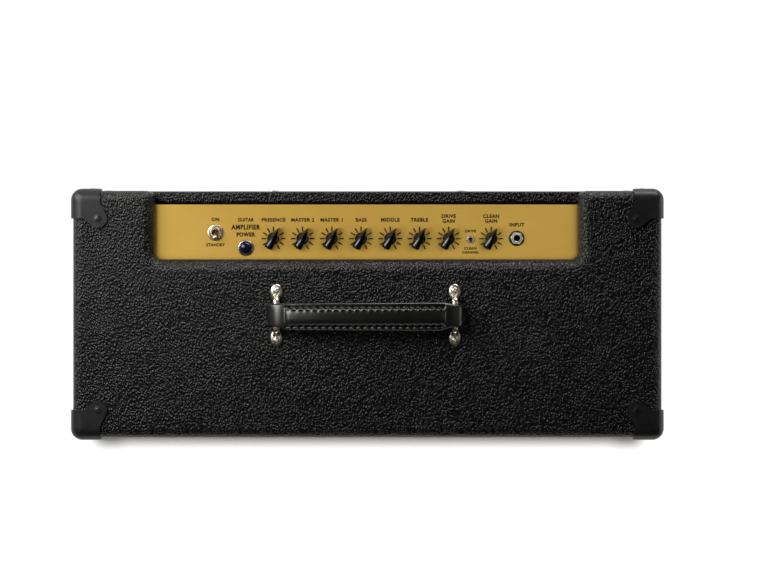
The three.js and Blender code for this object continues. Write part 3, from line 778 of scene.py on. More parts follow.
def piping():
    """Gold cord laid round the cloth, twisted from three strands."""
    low, high = box_of("grille_piping")
    radius = (high.y - low.y) / 2 - 0.25
    y = (low.y + high.y) / 2
    inset = radius + 0.3
    corner = 5
    x0, x1 = low.x + inset, high.x - inset
    z0, z1 = low.z + inset, high.z - inset
    corners = [(x1, z1, 0), (x0, z1, 90), (x0, z0, 180), (x1, z0, 270)]
    path = []
    for x, z, start in corners:
        cx = x - math.copysign(corner, x)
        cz = z - corner if z == z1 else z + corner
        path += arc(cx, cz, corner, start, start + 90, 6)
    step, lay = 1.5, 9  # the spacing of the rings, and the cord's length for one twist
    points = spaced([Vector((x, y, z)) for x, z in path], step)
    rings = []
    count = len(points)
    turns = round(count * step / lay)
    for i, point in enumerate(points):
        ahead = (points[(i + 1) % count] - points[i - 1]).normalized()
        side = ahead.cross(Vector((0, 1, 0)))
        phase = math.tau * turns * i / count
        ring = []
        for angle in full_turn(12):
            bulge = radius * (0.9 + 0.1 * math.cos(3 * (angle - phase / 3)))
            ring.append(point + bulge * (side * math.cos(angle) + Vector((0, math.sin(angle), 0))))
        rings.append(ring)
    piece("piping_cord", loft(rings, endless=True), CORD, stands_for=["grille_piping"])


def spaced(path, step):
    """Points at an even spacing along a closed path."""
    closed = path + path[:1]
    lengths = [(b - a).length for a, b in zip(closed, closed[1:])]
    total = sum(lengths)
    count = round(total / step)
    points = []
    leg, start = 0, 0.0
    for i in range(count):
        at = total * i / count
        while at > start + lengths[leg]:
            start += lengths[leg]
            leg += 1
        points.append(closed[leg].lerp(closed[leg + 1], (at - start) / lengths[leg]))
    return points


# ---- Corner protectors ----

PROTECTOR_WALL = 2
PROTECTOR_GAP = 0.3
REACH = 29  # how far each face's band runs from the cabinet's edge
LOBE = 9.6  # radius of the round lobe that holds the screw
SHOULDER = 9.6  # where the lobe's curve leaves the band
LOBE_ON_TOP = (26.6, 29.2)  # the screw's place, in from the end edge and from the long edge
LOBE_ON_SIDE = (19, 27)  # in from the upright edge and from the roof or floor


def protector_outline(lobe, a, b):
    """One face's outline, with the cabinet's corner at (a, b)."""
    over = 5
    points = [
        (-over, -over), (REACH, -over), (REACH, 0), (REACH - 0.6, 4), (REACH - 1.7, SHOULDER),
        *arc(*lobe, LOBE, -25, 115, 16),
        (SHOULDER, REACH - 1.7), (4, REACH - 0.6), (0, REACH), (-over, REACH),
    ]
    return [(a - p, b - q) for p, q in points]


def grown_box(by):
    """The cabinet's outside, grown all round, with its edges rounded as the covering's are."""
    body = block_between(outer_low, outer_high, by)
    return rounded(body, EDGE + by, 8)


def protector():
    """The upper rear right one: the cabinet's skin, grown outwards and cut to its three bands."""
    x, y, z = outer_high
    depth = EDGE + PROTECTOR_WALL

    def slab(lobe, a, b, at, matrix):
        return moved(prism(protector_outline(lobe, a, b), at - depth, at + 5), matrix)

    y_up = Matrix(((1, 0, 0, 0), (0, 0, 1, 0), (0, 1, 0, 0), (0, 0, 0, 1)))
    x_up = Matrix(((0, 0, 1, 0), (1, 0, 0, 0), (0, 1, 0, 0), (0, 0, 0, 1)))
    top = slab(LOBE_ON_TOP, x, y, z, Matrix.Identity(4))
    rear = slab(LOBE_ON_SIDE, x, z, y, y_up)
    end = slab(LOBE_ON_SIDE, y, z, x, x_up)
    span, past = 60, 20
    near = block(x - span, x + past, y - span, y + past, z - span, z + past)
    skin = combined(grown_box(PROTECTOR_GAP + PROTECTOR_WALL), near, "INTERSECT")
    skin = combined(skin, grown_box(PROTECTOR_GAP))
    body = combined(skin, together(top, rear, end), "INTERSECT")
    return rounded(body, 0.7, 2, sharp=math.radians(50))


def protector_screws(*signs):
    """Where a corner's three screws stand, each on its lobe and facing out."""
    sx, sy, sz = signs
    x, y, z = [high if sign > 0 else low for sign, low, high in zip(signs, outer_low, outer_high)]
    out = PROTECTOR_GAP + PROTECTOR_WALL
    a, b = LOBE_ON_TOP
    c, d = LOBE_ON_SIDE
    return [
        shift(x - sx * a, y - sy * b, z + sz * out) @ turn(0 if sz > 0 else 180, "X"),
        shift(x - sx * c, y + sy * out, z - sz * d) @ turn(-90 * sy, "X"),
        shift(x + sx * out, y - sy * c, z - sz * d) @ turn(90 * sx, "Y"),
    ]


def protectors():
    first = protector()
    middle = (outer_low + outer_high) / 2
    screws = []
    for side, sx in SIDES.items():
        for depth, sy in DEPTHS.items():
            for level, sz in LEVELS.items():
                mirror = Matrix.Diagonal((sx, sy, sz, 1))
                body = moved(first.copy(), shift(*middle), mirror, shift(*-middle))
                node = f"corner_{level}_{depth}_{side}"
                piece(node + "_moulding", body, CORNER, stands_for=[node])
                spin = turn(31 * sx + 17 * sy + 7 * sz, "Z")
                screws += [place @ spin for place in protector_screws(sx, sy, sz)]
    first.free()
    seats = turned([(2.2, 0), (4.2, 0), (4.1, 0.35), (3.2, 0.6), (2.2, 0.5)], 24)
    piece("protector_screw_seats", copies(seats, screws), CORNER)
    piece("protector_screws", copies(cross_screw(2.9, 0.9, 0.48, 0.26), screws), DARK_SCREW)


# ---- Feet ----


def feet():
    """Rubber feet: a moulded cup with a ribbed flank, and a steel washer and screw inside it."""
    for side in SIDES:
        for depth in DEPTHS:
            node = f"foot_{depth}_{side}"
            low, high = box_of(node)
            middle = (low + high) / 2
            r = (high.x - low.x) / 2
            top = high.z
            place = shift(middle.x, middle.y, 0)
            well = [(0, 5), (7.4, 5), (8, 4.6), (8.8, 0.8), (9.6, 0)]
            flank = [(r - 1.6, 0), (r - 0.4, 0.5), (r, 1.7), (r - 0.7, 4), (r - 0.9, 4.4)]
            shoulder = [(r - 0.9, 5), (r - 1.8, top - 1.2), (r - 2.6, top), (0, top)]
            body = turned([*well, *flank, *shoulder], 48)
            piece(node + "_rubber", moved(body, place), RUBBER, stands_for=[node])
            washer = turned([(2, 3.9), (6.4, 3.9), (6.4, 4.8), (2, 4.8)], 28)
            screw = moved(cross_screw(3.4, 2), shift(z=3.8), turn(180, "X"))
            body = moved(together(washer, screw), place)
            piece(f"foot_screw_{depth}_{side}", body, ZINC)


# ---- Carrying strap ----

strap_low, strap_high = box_of("handle_strap")
strap_middle = (strap_low + strap_high) / 2
GRIP = 81  # half length of the padded, stitched part
STITCH = 7.2  # pitch of the stitches
PAD = 9.6  # half width of the padding, out to its stitches
PAD_HEIGHT = 4.1
PAD_MIDDLE = -1.1  # the padding's middle line, from the middle of the loops
# Where the strap's two edges run, from the left loop to the right one.
REAR_EDGE = [(-103, 11.4), (-84, 12.8), (0, 13.1), (80, 13.5), (92, 11.6), (103, 9.4)]
FRONT_EDGE = [(-103, -10.4), (-94, -11.6), (-80, -15.2), (0, -15.5), (78, -15.8), (88, -12.6), (103, -12)]


def strap_rise(x, y):
    """How far the strap's upper face stands above the flat flange along its edges."""
    to_end = min(max((GRIP + 1.5 - abs(x)) / 6, 0), 1)
    fade = math.sqrt(1 - (1 - to_end) ** 2)
    behind = y - PAD_MIDDLE
    reach = abs(behind)
    pull = 0.5 + 0.5 * math.cos(math.tau * (x - 0.18 * behind) / STITCH)
    side = min(reach / (PAD - 0.9 * pull), 1)
    crown = PAD_HEIGHT * math.sqrt(max(1 - side**2.6, 0))
    groove = (0.5 + 1.1 * pull) * math.exp(-(((reach - PAD) / 1.1) ** 2))
    lumps = math.exp(-(((behind - PAD + 1.9) / 1.5) ** 2))
    lumps += math.exp(-(((behind + PAD + 1.8) / 1.2) ** 2))
    across = min(reach / 13, 1)
    plain = 1.6 * math.sqrt(1 - across**2) * (1 - fade)
    return fade * (crown - groove + 1.25 * (1 - pull) * lumps) + plain


def curve_through(points, count):
    """Smooth points through a few given ones, as a Catmull-Rom curve."""
    made = []
    last = len(points) - 1
    for i in range(count + 1):
        t = last * i / count
        k = min(int(t), last - 1)
        u = t - k
        p = [Vector(points[min(max(k + j, 0), last)]) for j in (-1, 0, 1, 2)]
        square = (2 * p[0] - 5 * p[1] + 4 * p[2] - p[3]) * u * u
        cube = (3 * p[1] - p[0] - 3 * p[2] + p[3]) * u**3
        made.append(0.5 * (2 * p[1] + (p[2] - p[0]) * u + square + cube))
    return made


def strap_belt():
    """Half of the belt's centre line: the top, the bend round a bar, and the underside.

    Each point is its x, its z and the leather's half thickness there.
    """
    low = strap_low.z
    top = [(0, 273.1, 2.3), (18, 272.9, 2.3), (44, 271.7, 2.3), (66, 269.2, 2.3), (82, 266.4, 2.2)]
    bend = [
        (88, 265.9, 2.1), (92.8, 264.7, 1.8), (96.6, 262.6, 1.6), (99.4, 259.9, 1.45),
        (100.7, 256.9, 1.35), (100.2, 254, 1.2), (97, low + 1.2, 0.95), (90, low + 0.9, 0.85)
    ]
    under = [(82, low + 1.1, 0.95), (74, low + 5.4, 1.2), (64, low + 11.4, 1.3)]
    flat = [(44, low + 16.8, 1.4), (18, low + 18.2, 1.5), (0, low + 18.4, 1.5)]
    return top, bend, under + flat


def strap():
    """A leather belt looped round both bars, its top layer padded and stitched to the lower one."""
    top, bend, under = strap_belt()
    fine = curve_through(top, 200)
    coarse = curve_through([top[-1], *bend, under[0]], 40)[1:]
    lower = curve_through(under, 60)[1:]
    line = fine + coarse + lower
    mirrored = [Vector((-p.x, p.y, p.z)) for p in reversed(line[1:-1])]
    loop = line + mirrored
    rings = []
    for i, here in enumerate(loop):
        before, after = loop[i - 1], loop[(i + 1) % len(loop)]
        ahead = Vector((after.x - before.x, after.y - before.y)).normalized()
        rings.append(strap_ring(here, Vector((-ahead.y, ahead.x))))
    body = loft(rings, endless=True)
    crisp = math.radians(70)
    made = piece("strap_leather", body, LEATHER, "strap", ["handle_strap"], crisp)


def strap_ring(here, out):
    """The belt's section at a point of its centre line: out is the way its outer face looks."""
    x, z, thick = here
    rear, front = along(REAR_EDGE, x), along(FRONT_EDGE, x)
    facing_up = min(max((out.y - 0.55) / 0.4, 0), 1)
    roll = 2.0
    upper, lower = 60, 12

    def softened(y):
        edge = min(rear - y, y - front, roll)
        return thick * math.sqrt(max(1 - (1 - edge / roll) ** 2, 0.01))

    ring = []
    for k in range(upper + 1):
        share = 0.5 - 0.5 * math.cos(math.pi * k / upper)
        y = front + (rear - front) * (0.35 * share + 0.65 * k / upper)
        lift = softened(y) + facing_up * strap_rise(x, y)
        ring.append(strap_point(x + out.x * lift, y, z + out.y * lift))
    for k in range(lower, -1, -1):
        y = front + (rear - front) * k / lower
        drop = softened(y)
        ring.append(strap_point(x - out.x * drop, y, z - out.y * drop))
    return ring


def strap_point(x, y, z):
    return Vector((x + strap_middle.x, y + strap_middle.y, z))


def stitches():
    """Short slanted stitches that sink into the leather at both ends, in a row along each seam."""
    top = [(x, z + thick) for x, z, thick in strap_belt()[0]]
    count = int(2 * GRIP / STITCH) - 1
    radius, slant = 0.5, 0.35
    bodies = []
    for side in (-1, 1):
        for i in range(count):
            middle = (i - (count - 1) / 2) * STITCH
            rings = []
            for k in range(9):
                share = k / 8
                x = middle + (share - 0.5) * STITCH * 0.8
                y = PAD_MIDDLE + side * (PAD + slant * (share - 0.5))
                lift = 0.62 * math.sin(math.pi * share) - 0.25
                thick = radius * math.sqrt(max(1 - (2 * share - 1) ** 4, 0.05))
                z = along(top, abs(x)) + strap_rise(x, y) + lift
                ring = [(y + thick * math.cos(a), z + thick * math.sin(a)) for a in full_turn(8)]
                rings.append([strap_point(x, *point) for point in ring])
            bodies.append(loft(rings))
    piece("strap_stitches", together(*bodies), THREAD, "strap")


def bracket_loop(rise):
    """A bar bent down at both ends, its thickness flaring towards the feet, cut flat below."""
    bar = 3  # the bar's radius
    inner = 17  # from the middle to where the bar turns down
    bent = [(3.6, -0.5), (2.6, 1.6), (0.8, rise * 0.5), (-1.4, rise * 0.88), (-4.5, rise)]
    half = [(0, inner + y, z) for y, z in bent]
    path = [(x, -y, z) for x, y, z in half] + [(0, 0, rise)] + half[::-1]
    steps = 60
    points = curve_through(path, steps)
    across = Vector((1, 0, 0))
    rings = []
    for i, point in enumerate(points):
        ahead = points[min(i + 1, steps)] - points[max(i - 1, 0)]
        ahead.normalize()
        up = ahead.cross(across)
        flare = 1.12 + 0.3 * max(0, 1 - point.z / 4)
        spokes = [flare * math.cos(a) * across + math.sin(a) * up for a in full_turn(20)]
        rings.append([point + bar * spoke for spoke in spokes])
    return combined(loft(rings), block(-20, 20, -60, 60, -20, 0.02))


def brackets():
    """Nickel loops: a bar under the strap, bent down into two oval feet."""
    foot_y = 23.8  # from the middle to a foot's own middle
    levels = [(6.1, 8.5, 0), (6.3, 8.8, 0.5), (6.25, 8.7, 0.9), (5.8, 8.2, 1.5)]
    levels += [(5.0, 7.2, 2.0), (3.8, 5.6, 2.3), (2.0, 3.2, 2.45)]
    for side in SIDES:
        node = f"handle_bracket_{side}"
        low, high = box_of(node)
        middle = (low + high) / 2
        place = shift(middle.x, middle.y, low.z)
        body = bracket_loop(high.z - low.z - 3)
        for sy in DEPTHS.values():
            pad = loft([oval(*level) for level in levels])
            body = combined(body, moved(pad, shift(y=sy * foot_y)), "UNION")
        piece(node + "_loop", moved(body, place), NICKEL, stands_for=[node])
        places = [
            shift(y=sy * (foot_y + 1.9), z=1.7) @ turn(45 + 25 * sy, "Z") for sy in DEPTHS.values()
        ]
        screws = copies(cross_screw(3.2, 1.9, 0.6), places)
        piece(f"bracket_screws_{side}", moved(screws, place), NICKEL)


# ---- Control panel ----

KNOBS = ["presence", "master_2", "master_1", "bass", "middle", "treble", "gain_2", "gain_1"]
panel = plate_high.z
knob_x = {name: joint_place(f"{name}_knob_turn").x for name in KNOBS}
knob_y = joint_place("presence_knob_turn").y
switch_place = middle_of("power_switch_nut")
mini_place = middle_of("channel_switch_body")
lamp_place = middle_of("lamp_bezel")
jack_place = middle_of("input_jack_washer")
REST = 28.5  # where the pointers stand, clockwise from straight back
INK_DEPTH = 0.06  # how thick the printing is
# How far the levers and the rocker stand tipped at rest, in degrees: half of what they move.
SWITCH_TIP = 15
MINI_TIP = 10
ROCKER_TIP = 9


def faceplate():
    body = rounded(block_between(plate_low, plate_high), 0.7, 3)
    holes = [(x, knob_y, 4.1) for x in knob_x.values()]
    holes += [(switch_place.x, switch_place.y, 6.3), (mini_place.x, mini_place.y, 3.9)]
    holes += [(lamp_place.x, lamp_place.y, 6.1), (jack_place.x, jack_place.y, 5.2)]
    low, high = plate_low.z - 2, panel + 2
    drills = [turned([(0, low), (r, low), (r, high), (0, high)], 28) for x, y, r in holes]
    drills = [moved(drill, shift(x, y)) for drill, (x, y, r) in zip(drills, holes)]
    body = combined(body, together(*drills))
    piece("gold_faceplate", body, GOLD, stands_for=["faceplate"])


def lettering(words, x, y, height=3.95, narrow=1.0, weight=0.045):
    """Thin solid capitals of that height, centred on a place on the panel."""
    text = bpy.data.curves.new("lettering", "FONT")
    text.body = words
    text.align_x = "CENTER"
    text.extrude = 0.5
    text.offset = weight
    text.space_character = 1.12
    text.resolution_u = 4
    loose = bpy.data.objects.new("lettering", text)
    bpy.context.scene.collection.objects.link(loose)
    bpy.context.view_layer.update()
    graph = bpy.context.evaluated_depsgraph_get()
    mesh = bpy.data.meshes.new_from_object(loose.evaluated_get(graph))
    body = bmesh.new()
    body.from_mesh(mesh)
    bpy.data.meshes.remove(mesh)
    bpy.data.objects.remove(loose)
    bmesh.ops.remove_doubles(body, verts=body.verts, dist=1e-4)
    tops = [v.co.y for v in body.verts]
    scale = height / (max(tops) - min(tops))
    size = Matrix.Diagonal((scale * narrow, scale, INK_DEPTH, 1))
    return moved(body, shift(x, y - height / 2, panel + INK_DEPTH / 2), size)


def scale_marks(x, y):
    """Eleven short lines round a knob, from 7 o'clock to 5 o'clock."""
    inner, outer, half = 7.4, 12.6, 0.66
    line = block(-half, half, inner, outer, panel, panel + INK_DEPTH)
    return copies(line, [shift(x, y) @ turn(150 - 30 * i, "Z") for i in range(11)])


def legend():
    """The panel's printing, in plain words."""
    small = 2.9
    # Each word: what it stands by and how far behind that, then its height, narrowing and weight.
    rows = [
        ("ON", switch_place, 14.2),
        ("STANDBY", switch_place, -12.4, 3.5, 0.9, 0.04),
        ("GUITAR", lamp_place, 29.5, 3.95, 0.85),
        ("AMPLIFIER", lamp_place, 21.9, 5.3, 0.86),
        ("POWER", lamp_place, 14.2, 4.6, 0.9, 0.05),
        ("INPUT", jack_place, 14.4),
        ("DRIVE", mini_place, 9, small, 1.05, 0.04),
        ("CLEAN", mini_place, -9, small, 1.05, 0.04),
        ("CHANNEL", mini_place, -13.2, small, 0.95, 0.04),
    ]
    words = [lettering(text, at.x, at.y + rise, *style) for text, at, rise, *style in rows]
    titles = {"gain_2": ("DRIVE", "GAIN"), "gain_1": ("CLEAN", "GAIN")}
    for name, x in knob_x.items():
        words.append(scale_marks(x, knob_y))
        if name in titles:
            upper, lower = titles[name]
            words.append(lettering(upper, x, knob_y + 23.8))
            words.append(lettering(lower, x, knob_y + 18.7))
        else:
            words.append(lettering(name.replace("_", " ").upper(), x, knob_y + 19.9))
    piece("panel_legend", together(*words), INK)


def teardrop(half, tail, tip, waist):
    """Plan of a pointer: a nearly square tail that narrows, hollow-sided, to the tip along +Y."""
    corner = 1.9
    right = [
        *arc(half - corner, -tail + corner, corner, 290, 360, 4), (half * 0.98, -tail * 0.4),
        (half * waist, tip * 0.3), (half * waist * 0.6, tip * 0.68), (0.42, tip - 0.25)
    ]
    left = [(-x, y) for x, y in reversed(right)]
    return [(0, -tail - 0.3), *right, (0, tip), *left]


def pointer_knob():
    """A round skirted body under a tall pointer whose flanks lean in to a narrow ridge."""
    base = box_of("knob_presence")
    foot = panel + 0.6
    height = base[1].z - foot
    skirt = [(0, 0), (6.3, 0), (6.7, 0.5), (6.7, 1.5), (6.6, height * 0.5)]
    crown = [(6.2, height * 0.62), (5.2, height * 0.7), (0, height * 0.74)]
    body = turned([*skirt, *crown], 40)
    # The pointer's sections: height, then the half width, tail, tip and waist of each.
    levels = [
        (0.4, 4.9, 12.0, 12.4, 0.78),
        (height * 0.5, 4.75, 11.95, 12.35, 0.75),
        (height * 0.78, 4.4, 11.7, 12.1, 0.7),
        (height * 0.9, 2.7, 11.2, 11.7, 0.6),
        (height * 0.95, 1.7, 10.8, 11.4, 0.5),
        (height, 0.45, 10.2, 10.9, 0.4),
    ]
    rings = [[(x, y, z) for x, y in teardrop(*plan)] for z, *plan in levels]
    whole = combined(body, loft(rings), "UNION")
    shaft_low = base[0].z - foot
    shaft = turned([(0, shaft_low), (3, shaft_low), (3, 0.5), (0, 0.5)], 20)
    return moved(combined(whole, shaft, "UNION"), shift(z=foot), turn(-REST, "Z"))


def knobs():
    first = pointer_knob()
    for name, x in knob_x.items():
        body = moved(first.copy(), shift(x, knob_y))
        node = f"knob_{name}"
        piece(f"pointer_{name}", body, KNOB, f"{node}_turn", [node])
    first.free()


def bat_lever(ball, stem, end, length):
    """A toggle's lever along +Z from its pivot: a ball, a slim stem and a thicker round end."""
    swell = [(end * 0.97, length - end * 1.5), (end, length - end)]
    cap = arc(0, length - end, end, 15, 75, 4)
    knuckle = arc(0, 0, ball, -75, 55, 8)
    stems = [(stem, ball * 1.1), (stem * 1.1, length * 0.45), (end * 0.86, length * 0.75)]
    return turned([(0, -ball), *knuckle, *stems, *swell, *cap, (0, length)], 28)


def power_switch():
    node = "power_switch_nut"
    low, high = box_of(node)
    r = (high.x - low.x) / 2
    place = shift(switch_place.x, switch_place.y)
    z = low.z
    ring = [
        (6.2, z), (r, z), (r, z + 0.8), (r - 0.5, z + 1.4), (r - 1.2, z + 1.6), (r - 1.9, z + 1.7),
        (r - 2.1, z + 1.1), (6.2, z + 1.1)
    ]
    nut = moved(turned(ring, 48), place)
    piece("switch_nut_ring", nut, WARM_NICKEL, stands_for=[node])

    low, high = box_of("power_switch_body")
    top = high.z
    thread = []
    for i in range(3):
        thread += [(5.8, top - 2.6 + 0.8 * i), (5.4, top - 2.2 + 0.8 * i)]
    bushing = [(5.8, low.z + 20), *thread, (5.6, top - 0.2), (5.3, top), (4.1, top), (3.7, top - 0.5)]
    bore = [(3.2, top - 4), (3.2, top - 9), (3.2, low.z + 20)]
    tube = moved(turned([*bushing, *bore], 40), place)
    piece("switch_bushing", tube, WARM_NICKEL, stands_for=["power_switch_body"])
    case = block(low.x, high.x, low.y, high.y, low.z, low.z + 21.5)
    piece("switch_case", rounded(case, 1, 2), BLACK_PLASTIC)

    pivot = joint_place("power_switch_flip")
    lever = bat_lever(3.1, 1.55, 2.6, 23.6)
    lever = moved(lever, shift(*pivot), turn(SWITCH_TIP, "X"))
    piece("switch_lever", lever, WARM_NICKEL, "power_lever", ["power_switch_lever"])


def channel_switch():
    low, high = box_of("channel_switch_body")
    place = shift(mini_place.x, mini_place.y)
    top = high.z
    under = plate_low.z - 3
    ring = [(3.4, under), (3.4, top - 0.4), (3.1, top), (2.4, top), (2.0, top - 0.5), (2.0, under)]
    hexagon = prism(arc(0, 0, 4.3, 0, 300, 5), panel + 0.1, panel + 1.3)
    hexagon = combined(rounded(hexagon, 0.25, 2), turned([(0, 0), (3.5, 0), (3.5, 300), (0, 300)]))
    tube = moved(together(turned(ring, 32), hexagon), place)
    piece("mini_switch_bushing", tube, NICKEL, stands_for=["channel_switch_body"])
    case = block(low.x, high.x, low.y, high.y, low.z, low.z + 11)
    piece("mini_switch_case", rounded(case, 0.6, 2), BLACK_PLASTIC)
    pivot = joint_place("channel_switch_flip")
    lever = moved(bat_lever(1.7, 0.85, 1.5, 9.5), shift(*pivot), turn(MINI_TIP, "X"))
    node = "channel_switch_lever"
    piece("mini_switch_lever", lever, BLACK_PLASTIC, "channel_lever", [node])


def pilot_lamp():
    low, high = box_of("lamp_bezel")
    r = (high.x - low.x) / 2
    place = shift(lamp_place.x, lamp_place.y)
    z = panel + 0.3
    rim = high.z
    profile = [
        (0, low.z), (4.4, low.z), (5.6, low.z + 2), (5.6, z), (r - 0.3, z), (r, z + 0.3), (r, z + 1.0),
        (r - 0.5, z + 1.7), (r - 1.2, rim - 0.1), (r - 1.5, rim), (r - 1.8, rim - 0.2), (6.6, z + 0.9),
        (0, z + 0.9)
    ]
    piece("lamp_ring", moved(turned(profile, 48), place), NICKEL, stands_for=["lamp_bezel"])
    jewel_low, jewel_high = box_of("lamp_jewel")
    jr = (jewel_high.x - jewel_low.x) / 2
    base = jewel_low.z
    height = jewel_high.z - base
    rising = angles_between(0, 80, 8)
    dome = [(jr * math.cos(a), base + 1.6 + (height - 1.6) * math.sin(a)) for a in rising]
    lens = turned([(0, base), (jr - 0.3, base), (jr, base + 0.4), *dome, (0, jewel_high.z)], 40)
    piece("lamp_lens", moved(lens, place), JEWEL, stands_for=["lamp_jewel"])


def jack_parts(rim, nut_low, nut_spin):
    """A threaded socket tube and its hexagon nut, standing along +Z from the panel's face."""
    thread, bore = 4.6, 3.3
    ridges = []
    z = nut_low + 2.4
    while z < rim - 0.5:
        ridges += [(thread, z), (thread - 0.25, z + 0.25)]
        z += 0.5
    lip = [(thread - 0.5, rim), (bore + 0.3, rim), (bore, rim - 0.3)]
    tube = turned([(bore, -6), (thread, -6), *ridges, *lip], 40)
    hexagon = prism(arc(0, 0, 7.05, nut_spin, nut_spin + 300, 5), nut_low, nut_low + 2.4)
    hole = turned([(0, -20), (thread + 0.1, -20), (thread + 0.1, 20), (0, 20)], 32)
    return tube, combined(rounded(hexagon, 0.4, 2), hole)


def input_socket():
    place = shift(jack_place.x, jack_place.y, panel)
    socket_low, socket_high = box_of("input_jack")
    rim = socket_high.z - panel
    washer_low, washer_high = box_of("input_jack_washer")
    r = (washer_high.x - washer_low.x) / 2
    low, top = washer_low.z - panel, washer_high.z - panel
    tube, nut = jack_parts(rim, top + 0.1, -6)
    case = block(-8, 8, -10, 10, socket_low.z - panel, plate_low.z - panel - 2.2)
    case = combined(rounded(case, 1, 2), turned([(0, -60), (3.3, -22), (3.3, 0), (0, 0)], 24))
    piece("input_socket", moved(together(tube, nut), place), NICKEL, stands_for=["input_jack"])
    piece("input_socket_case", moved(case, place), BLACK_PLASTIC)
    ring = [(4.9, low), (r - 0.2, low), (r, low + 0.4), (r - 0.2, top - 0.2), (r - 0.7, top), (4.9, top)]
    washer = moved(turned(ring, 44), place)
    piece("input_washer", washer, WASHER, stands_for=["input_jack_washer"])


# ---- Back and inside ----


def rear_sockets():
    facing = turn(-90, "X")
    for i in (1, 2):
        node = f"speaker_jack_{i}"
        low, high = box_of(node)
        place = middle_of(node)
        face = box_of("power_chassis")[1].y
        tube, nut = jack_parts(high.y - face, 0.2, 15 * i)
        body = moved(together(tube, nut), shift(place.x, face, place.z), facing)
        piece(f"rear_socket_{i}", body, NICKEL, stands_for=[node])
        case = block(low.x, high.x, low.y, low.y + 20, low.z, high.z)
        piece(f"rear_socket_case_{i}", rounded(case, 1, 2), BLACK_PLASTIC)


def flanged_frame(node, opening, depth, corner):
    """A moulded housing with a flat flange and a deep rectangular opening."""
    low, high = box_of(node)
    middle = (low + high) / 2
    width, height = opening
    flange = 2
    plate = block(low.x, high.x, high.y - flange, high.y, low.z, high.z)
    rounded(plate, corner, 4, lambda e: abs(e.verts[0].co.y - e.verts[1].co.y) > 1)
    rounded(plate, 0.6, 2, lambda e: min(v.co.y for v in e.verts) > high.y - 0.1)

    def core(wall, y0, y1):
        x0, x1 = middle.x - width / 2 - wall, middle.x + width / 2 + wall
        return block(x0, x1, y0, y1, middle.z - height / 2 - wall, middle.z + height / 2 + wall)

    body = combined(plate, core(1.5, low.y, high.y - 1), "UNION")
    return combined(body, core(0, high.y - depth, high.y + 5))


def mains_inlet():
    node = "mains_inlet"
    body = flanged_frame(node, (24, 16.4), 18, 2)
    piece("inlet_housing", body, BLACK_PLASTIC, stands_for=[node])
    middle, face = middle_of(node), box_of(node)[1].y
    pins = []
    for x, z in ((-7, -2), (7, -2), (0, 2)):
        pin = block(x - 1, x + 1, face - 18.5, face - 4, z - 2, z + 2)
        pins.append(moved(rounded(pin, 0.5, 2), shift(middle.x, 0, middle.z)))
    piece("inlet_pins", together(*pins), NICKEL)


def mains_switch():
    node = "mains_switch_frame"
    body = flanged_frame(node, (11.6, 19), 14, 1.5)
    piece("rocker_frame", body, BLACK_PLASTIC, stands_for=[node])
    low, high = box_of("mains_rocker")
    half = (high.x - low.x) / 2
    reach = 7.9
    rise = math.tan(math.radians(ROCKER_TIP)) * reach
    side = [(-3, -3), (1.5, -reach), (4 + rise, -reach + 0.4)]
    dish = [(4 + rise * abs(z) ** 1.3 / reach**1.3, z) for z in (-5, -2.5, 0, 2.5, 5)]
    side += [*dish, (4 + rise, reach - 0.4), (1.5, reach), (-3, 3)]
    rings = [[(x, y, z) for y, z in side] for x in (-half, half)]
    paddle = rounded(loft(rings), 0.35, 2, sharp=math.radians(40))
    marks = rocker_marks(4 + rise * 0.6, reach * 0.62)
    place = (shift(*joint_place("mains_switch_rock")), turn(ROCKER_TIP, "X"))
    paddle = moved(paddle, *place)
    piece("rocker_paddle", paddle, BLACK_PLASTIC, "mains_paddle", ["mains_rocker"])
    piece("rocker_marks", moved(marks, *place), WHITE_INK, "mains_paddle")


def rocker_marks(y, z):
    """The usual bar and ring, raised a hair above the rocker's face."""
    bar = block(-1.4, 1.4, y - 0.35, y + 0.12, z - 0.25, z + 0.25)
    ring = turned([(0.9, 0), (1.4, 0), (1.4, 0.45), (0.9, 0.45)], 20)
    ring = moved(ring, shift(0, y - 0.3, -z), turn(-90, "X"))
    return together(bar, ring)


def valve(node, power):
    """A glass bulb on its base, with the grey plates and mica discs inside."""
    low, high = box_of(node)
    place = shift((low.x + high.x) / 2, (low.y + high.y) / 2, low.z)
    height = high.z - low.z
    bulb = 15.6 if power else 9.7
    socket = 17 if power else 11.5
    seat = height * 0.22
    base_profile = [(0, 0), (socket + 1.5, 0), (socket + 1.5, 2), (socket, 3), (socket, seat)]
    base_profile += [(socket - 2, seat + 1.5), (0, seat + 1.5)]
    base = moved(turned(base_profile, 36), place)
    piece(node + "_base", base, BLACK_PLASTIC, stands_for=[node])
    shoulder = height - bulb * 0.8
    outer = [(bulb * 0.8, seat + 2), (bulb, height * 0.32), (bulb, shoulder)]
    outer += [(bulb * 0.72, shoulder + bulb * 0.45), (2, height - 1.5)]
    shell = turned([(0, seat + 2), *outer, (0, height)], 36)
    piece(node + "_glass", moved(shell, place), GLASS)
    plate = block(-bulb * 0.42, bulb * 0.42, -bulb * 0.3, bulb * 0.3, seat + 5, shoulder - 3)
    rounded(plate, bulb * 0.12, 3)
    discs = [
        turned([(0, z), (bulb * 0.8, z), (bulb * 0.8, z + 0.6), (0, z + 0.6)], 24)
        for z in (seat + 4, shoulder - 3)
    ]
    inside = moved(together(plate, *discs), place)
    piece(node + "_plates", inside, GREY_PLATE)


def chassis_screws():
    """Screws along the power chassis's rear wall."""
    wall = box_of("power_chassis")[1].y
    row = middle_of("mains_inlet").z
    places = [
        shift(x, wall - 0.1, row) @ turn(-90, "X") @ turn(20 + x, "Z")
        for x in (-215, -185, -140, -60, 0, 60, 120, 220)
    ]
    piece("chassis_screws", copies(cross_screw(3, 1.6), places), NICKEL)


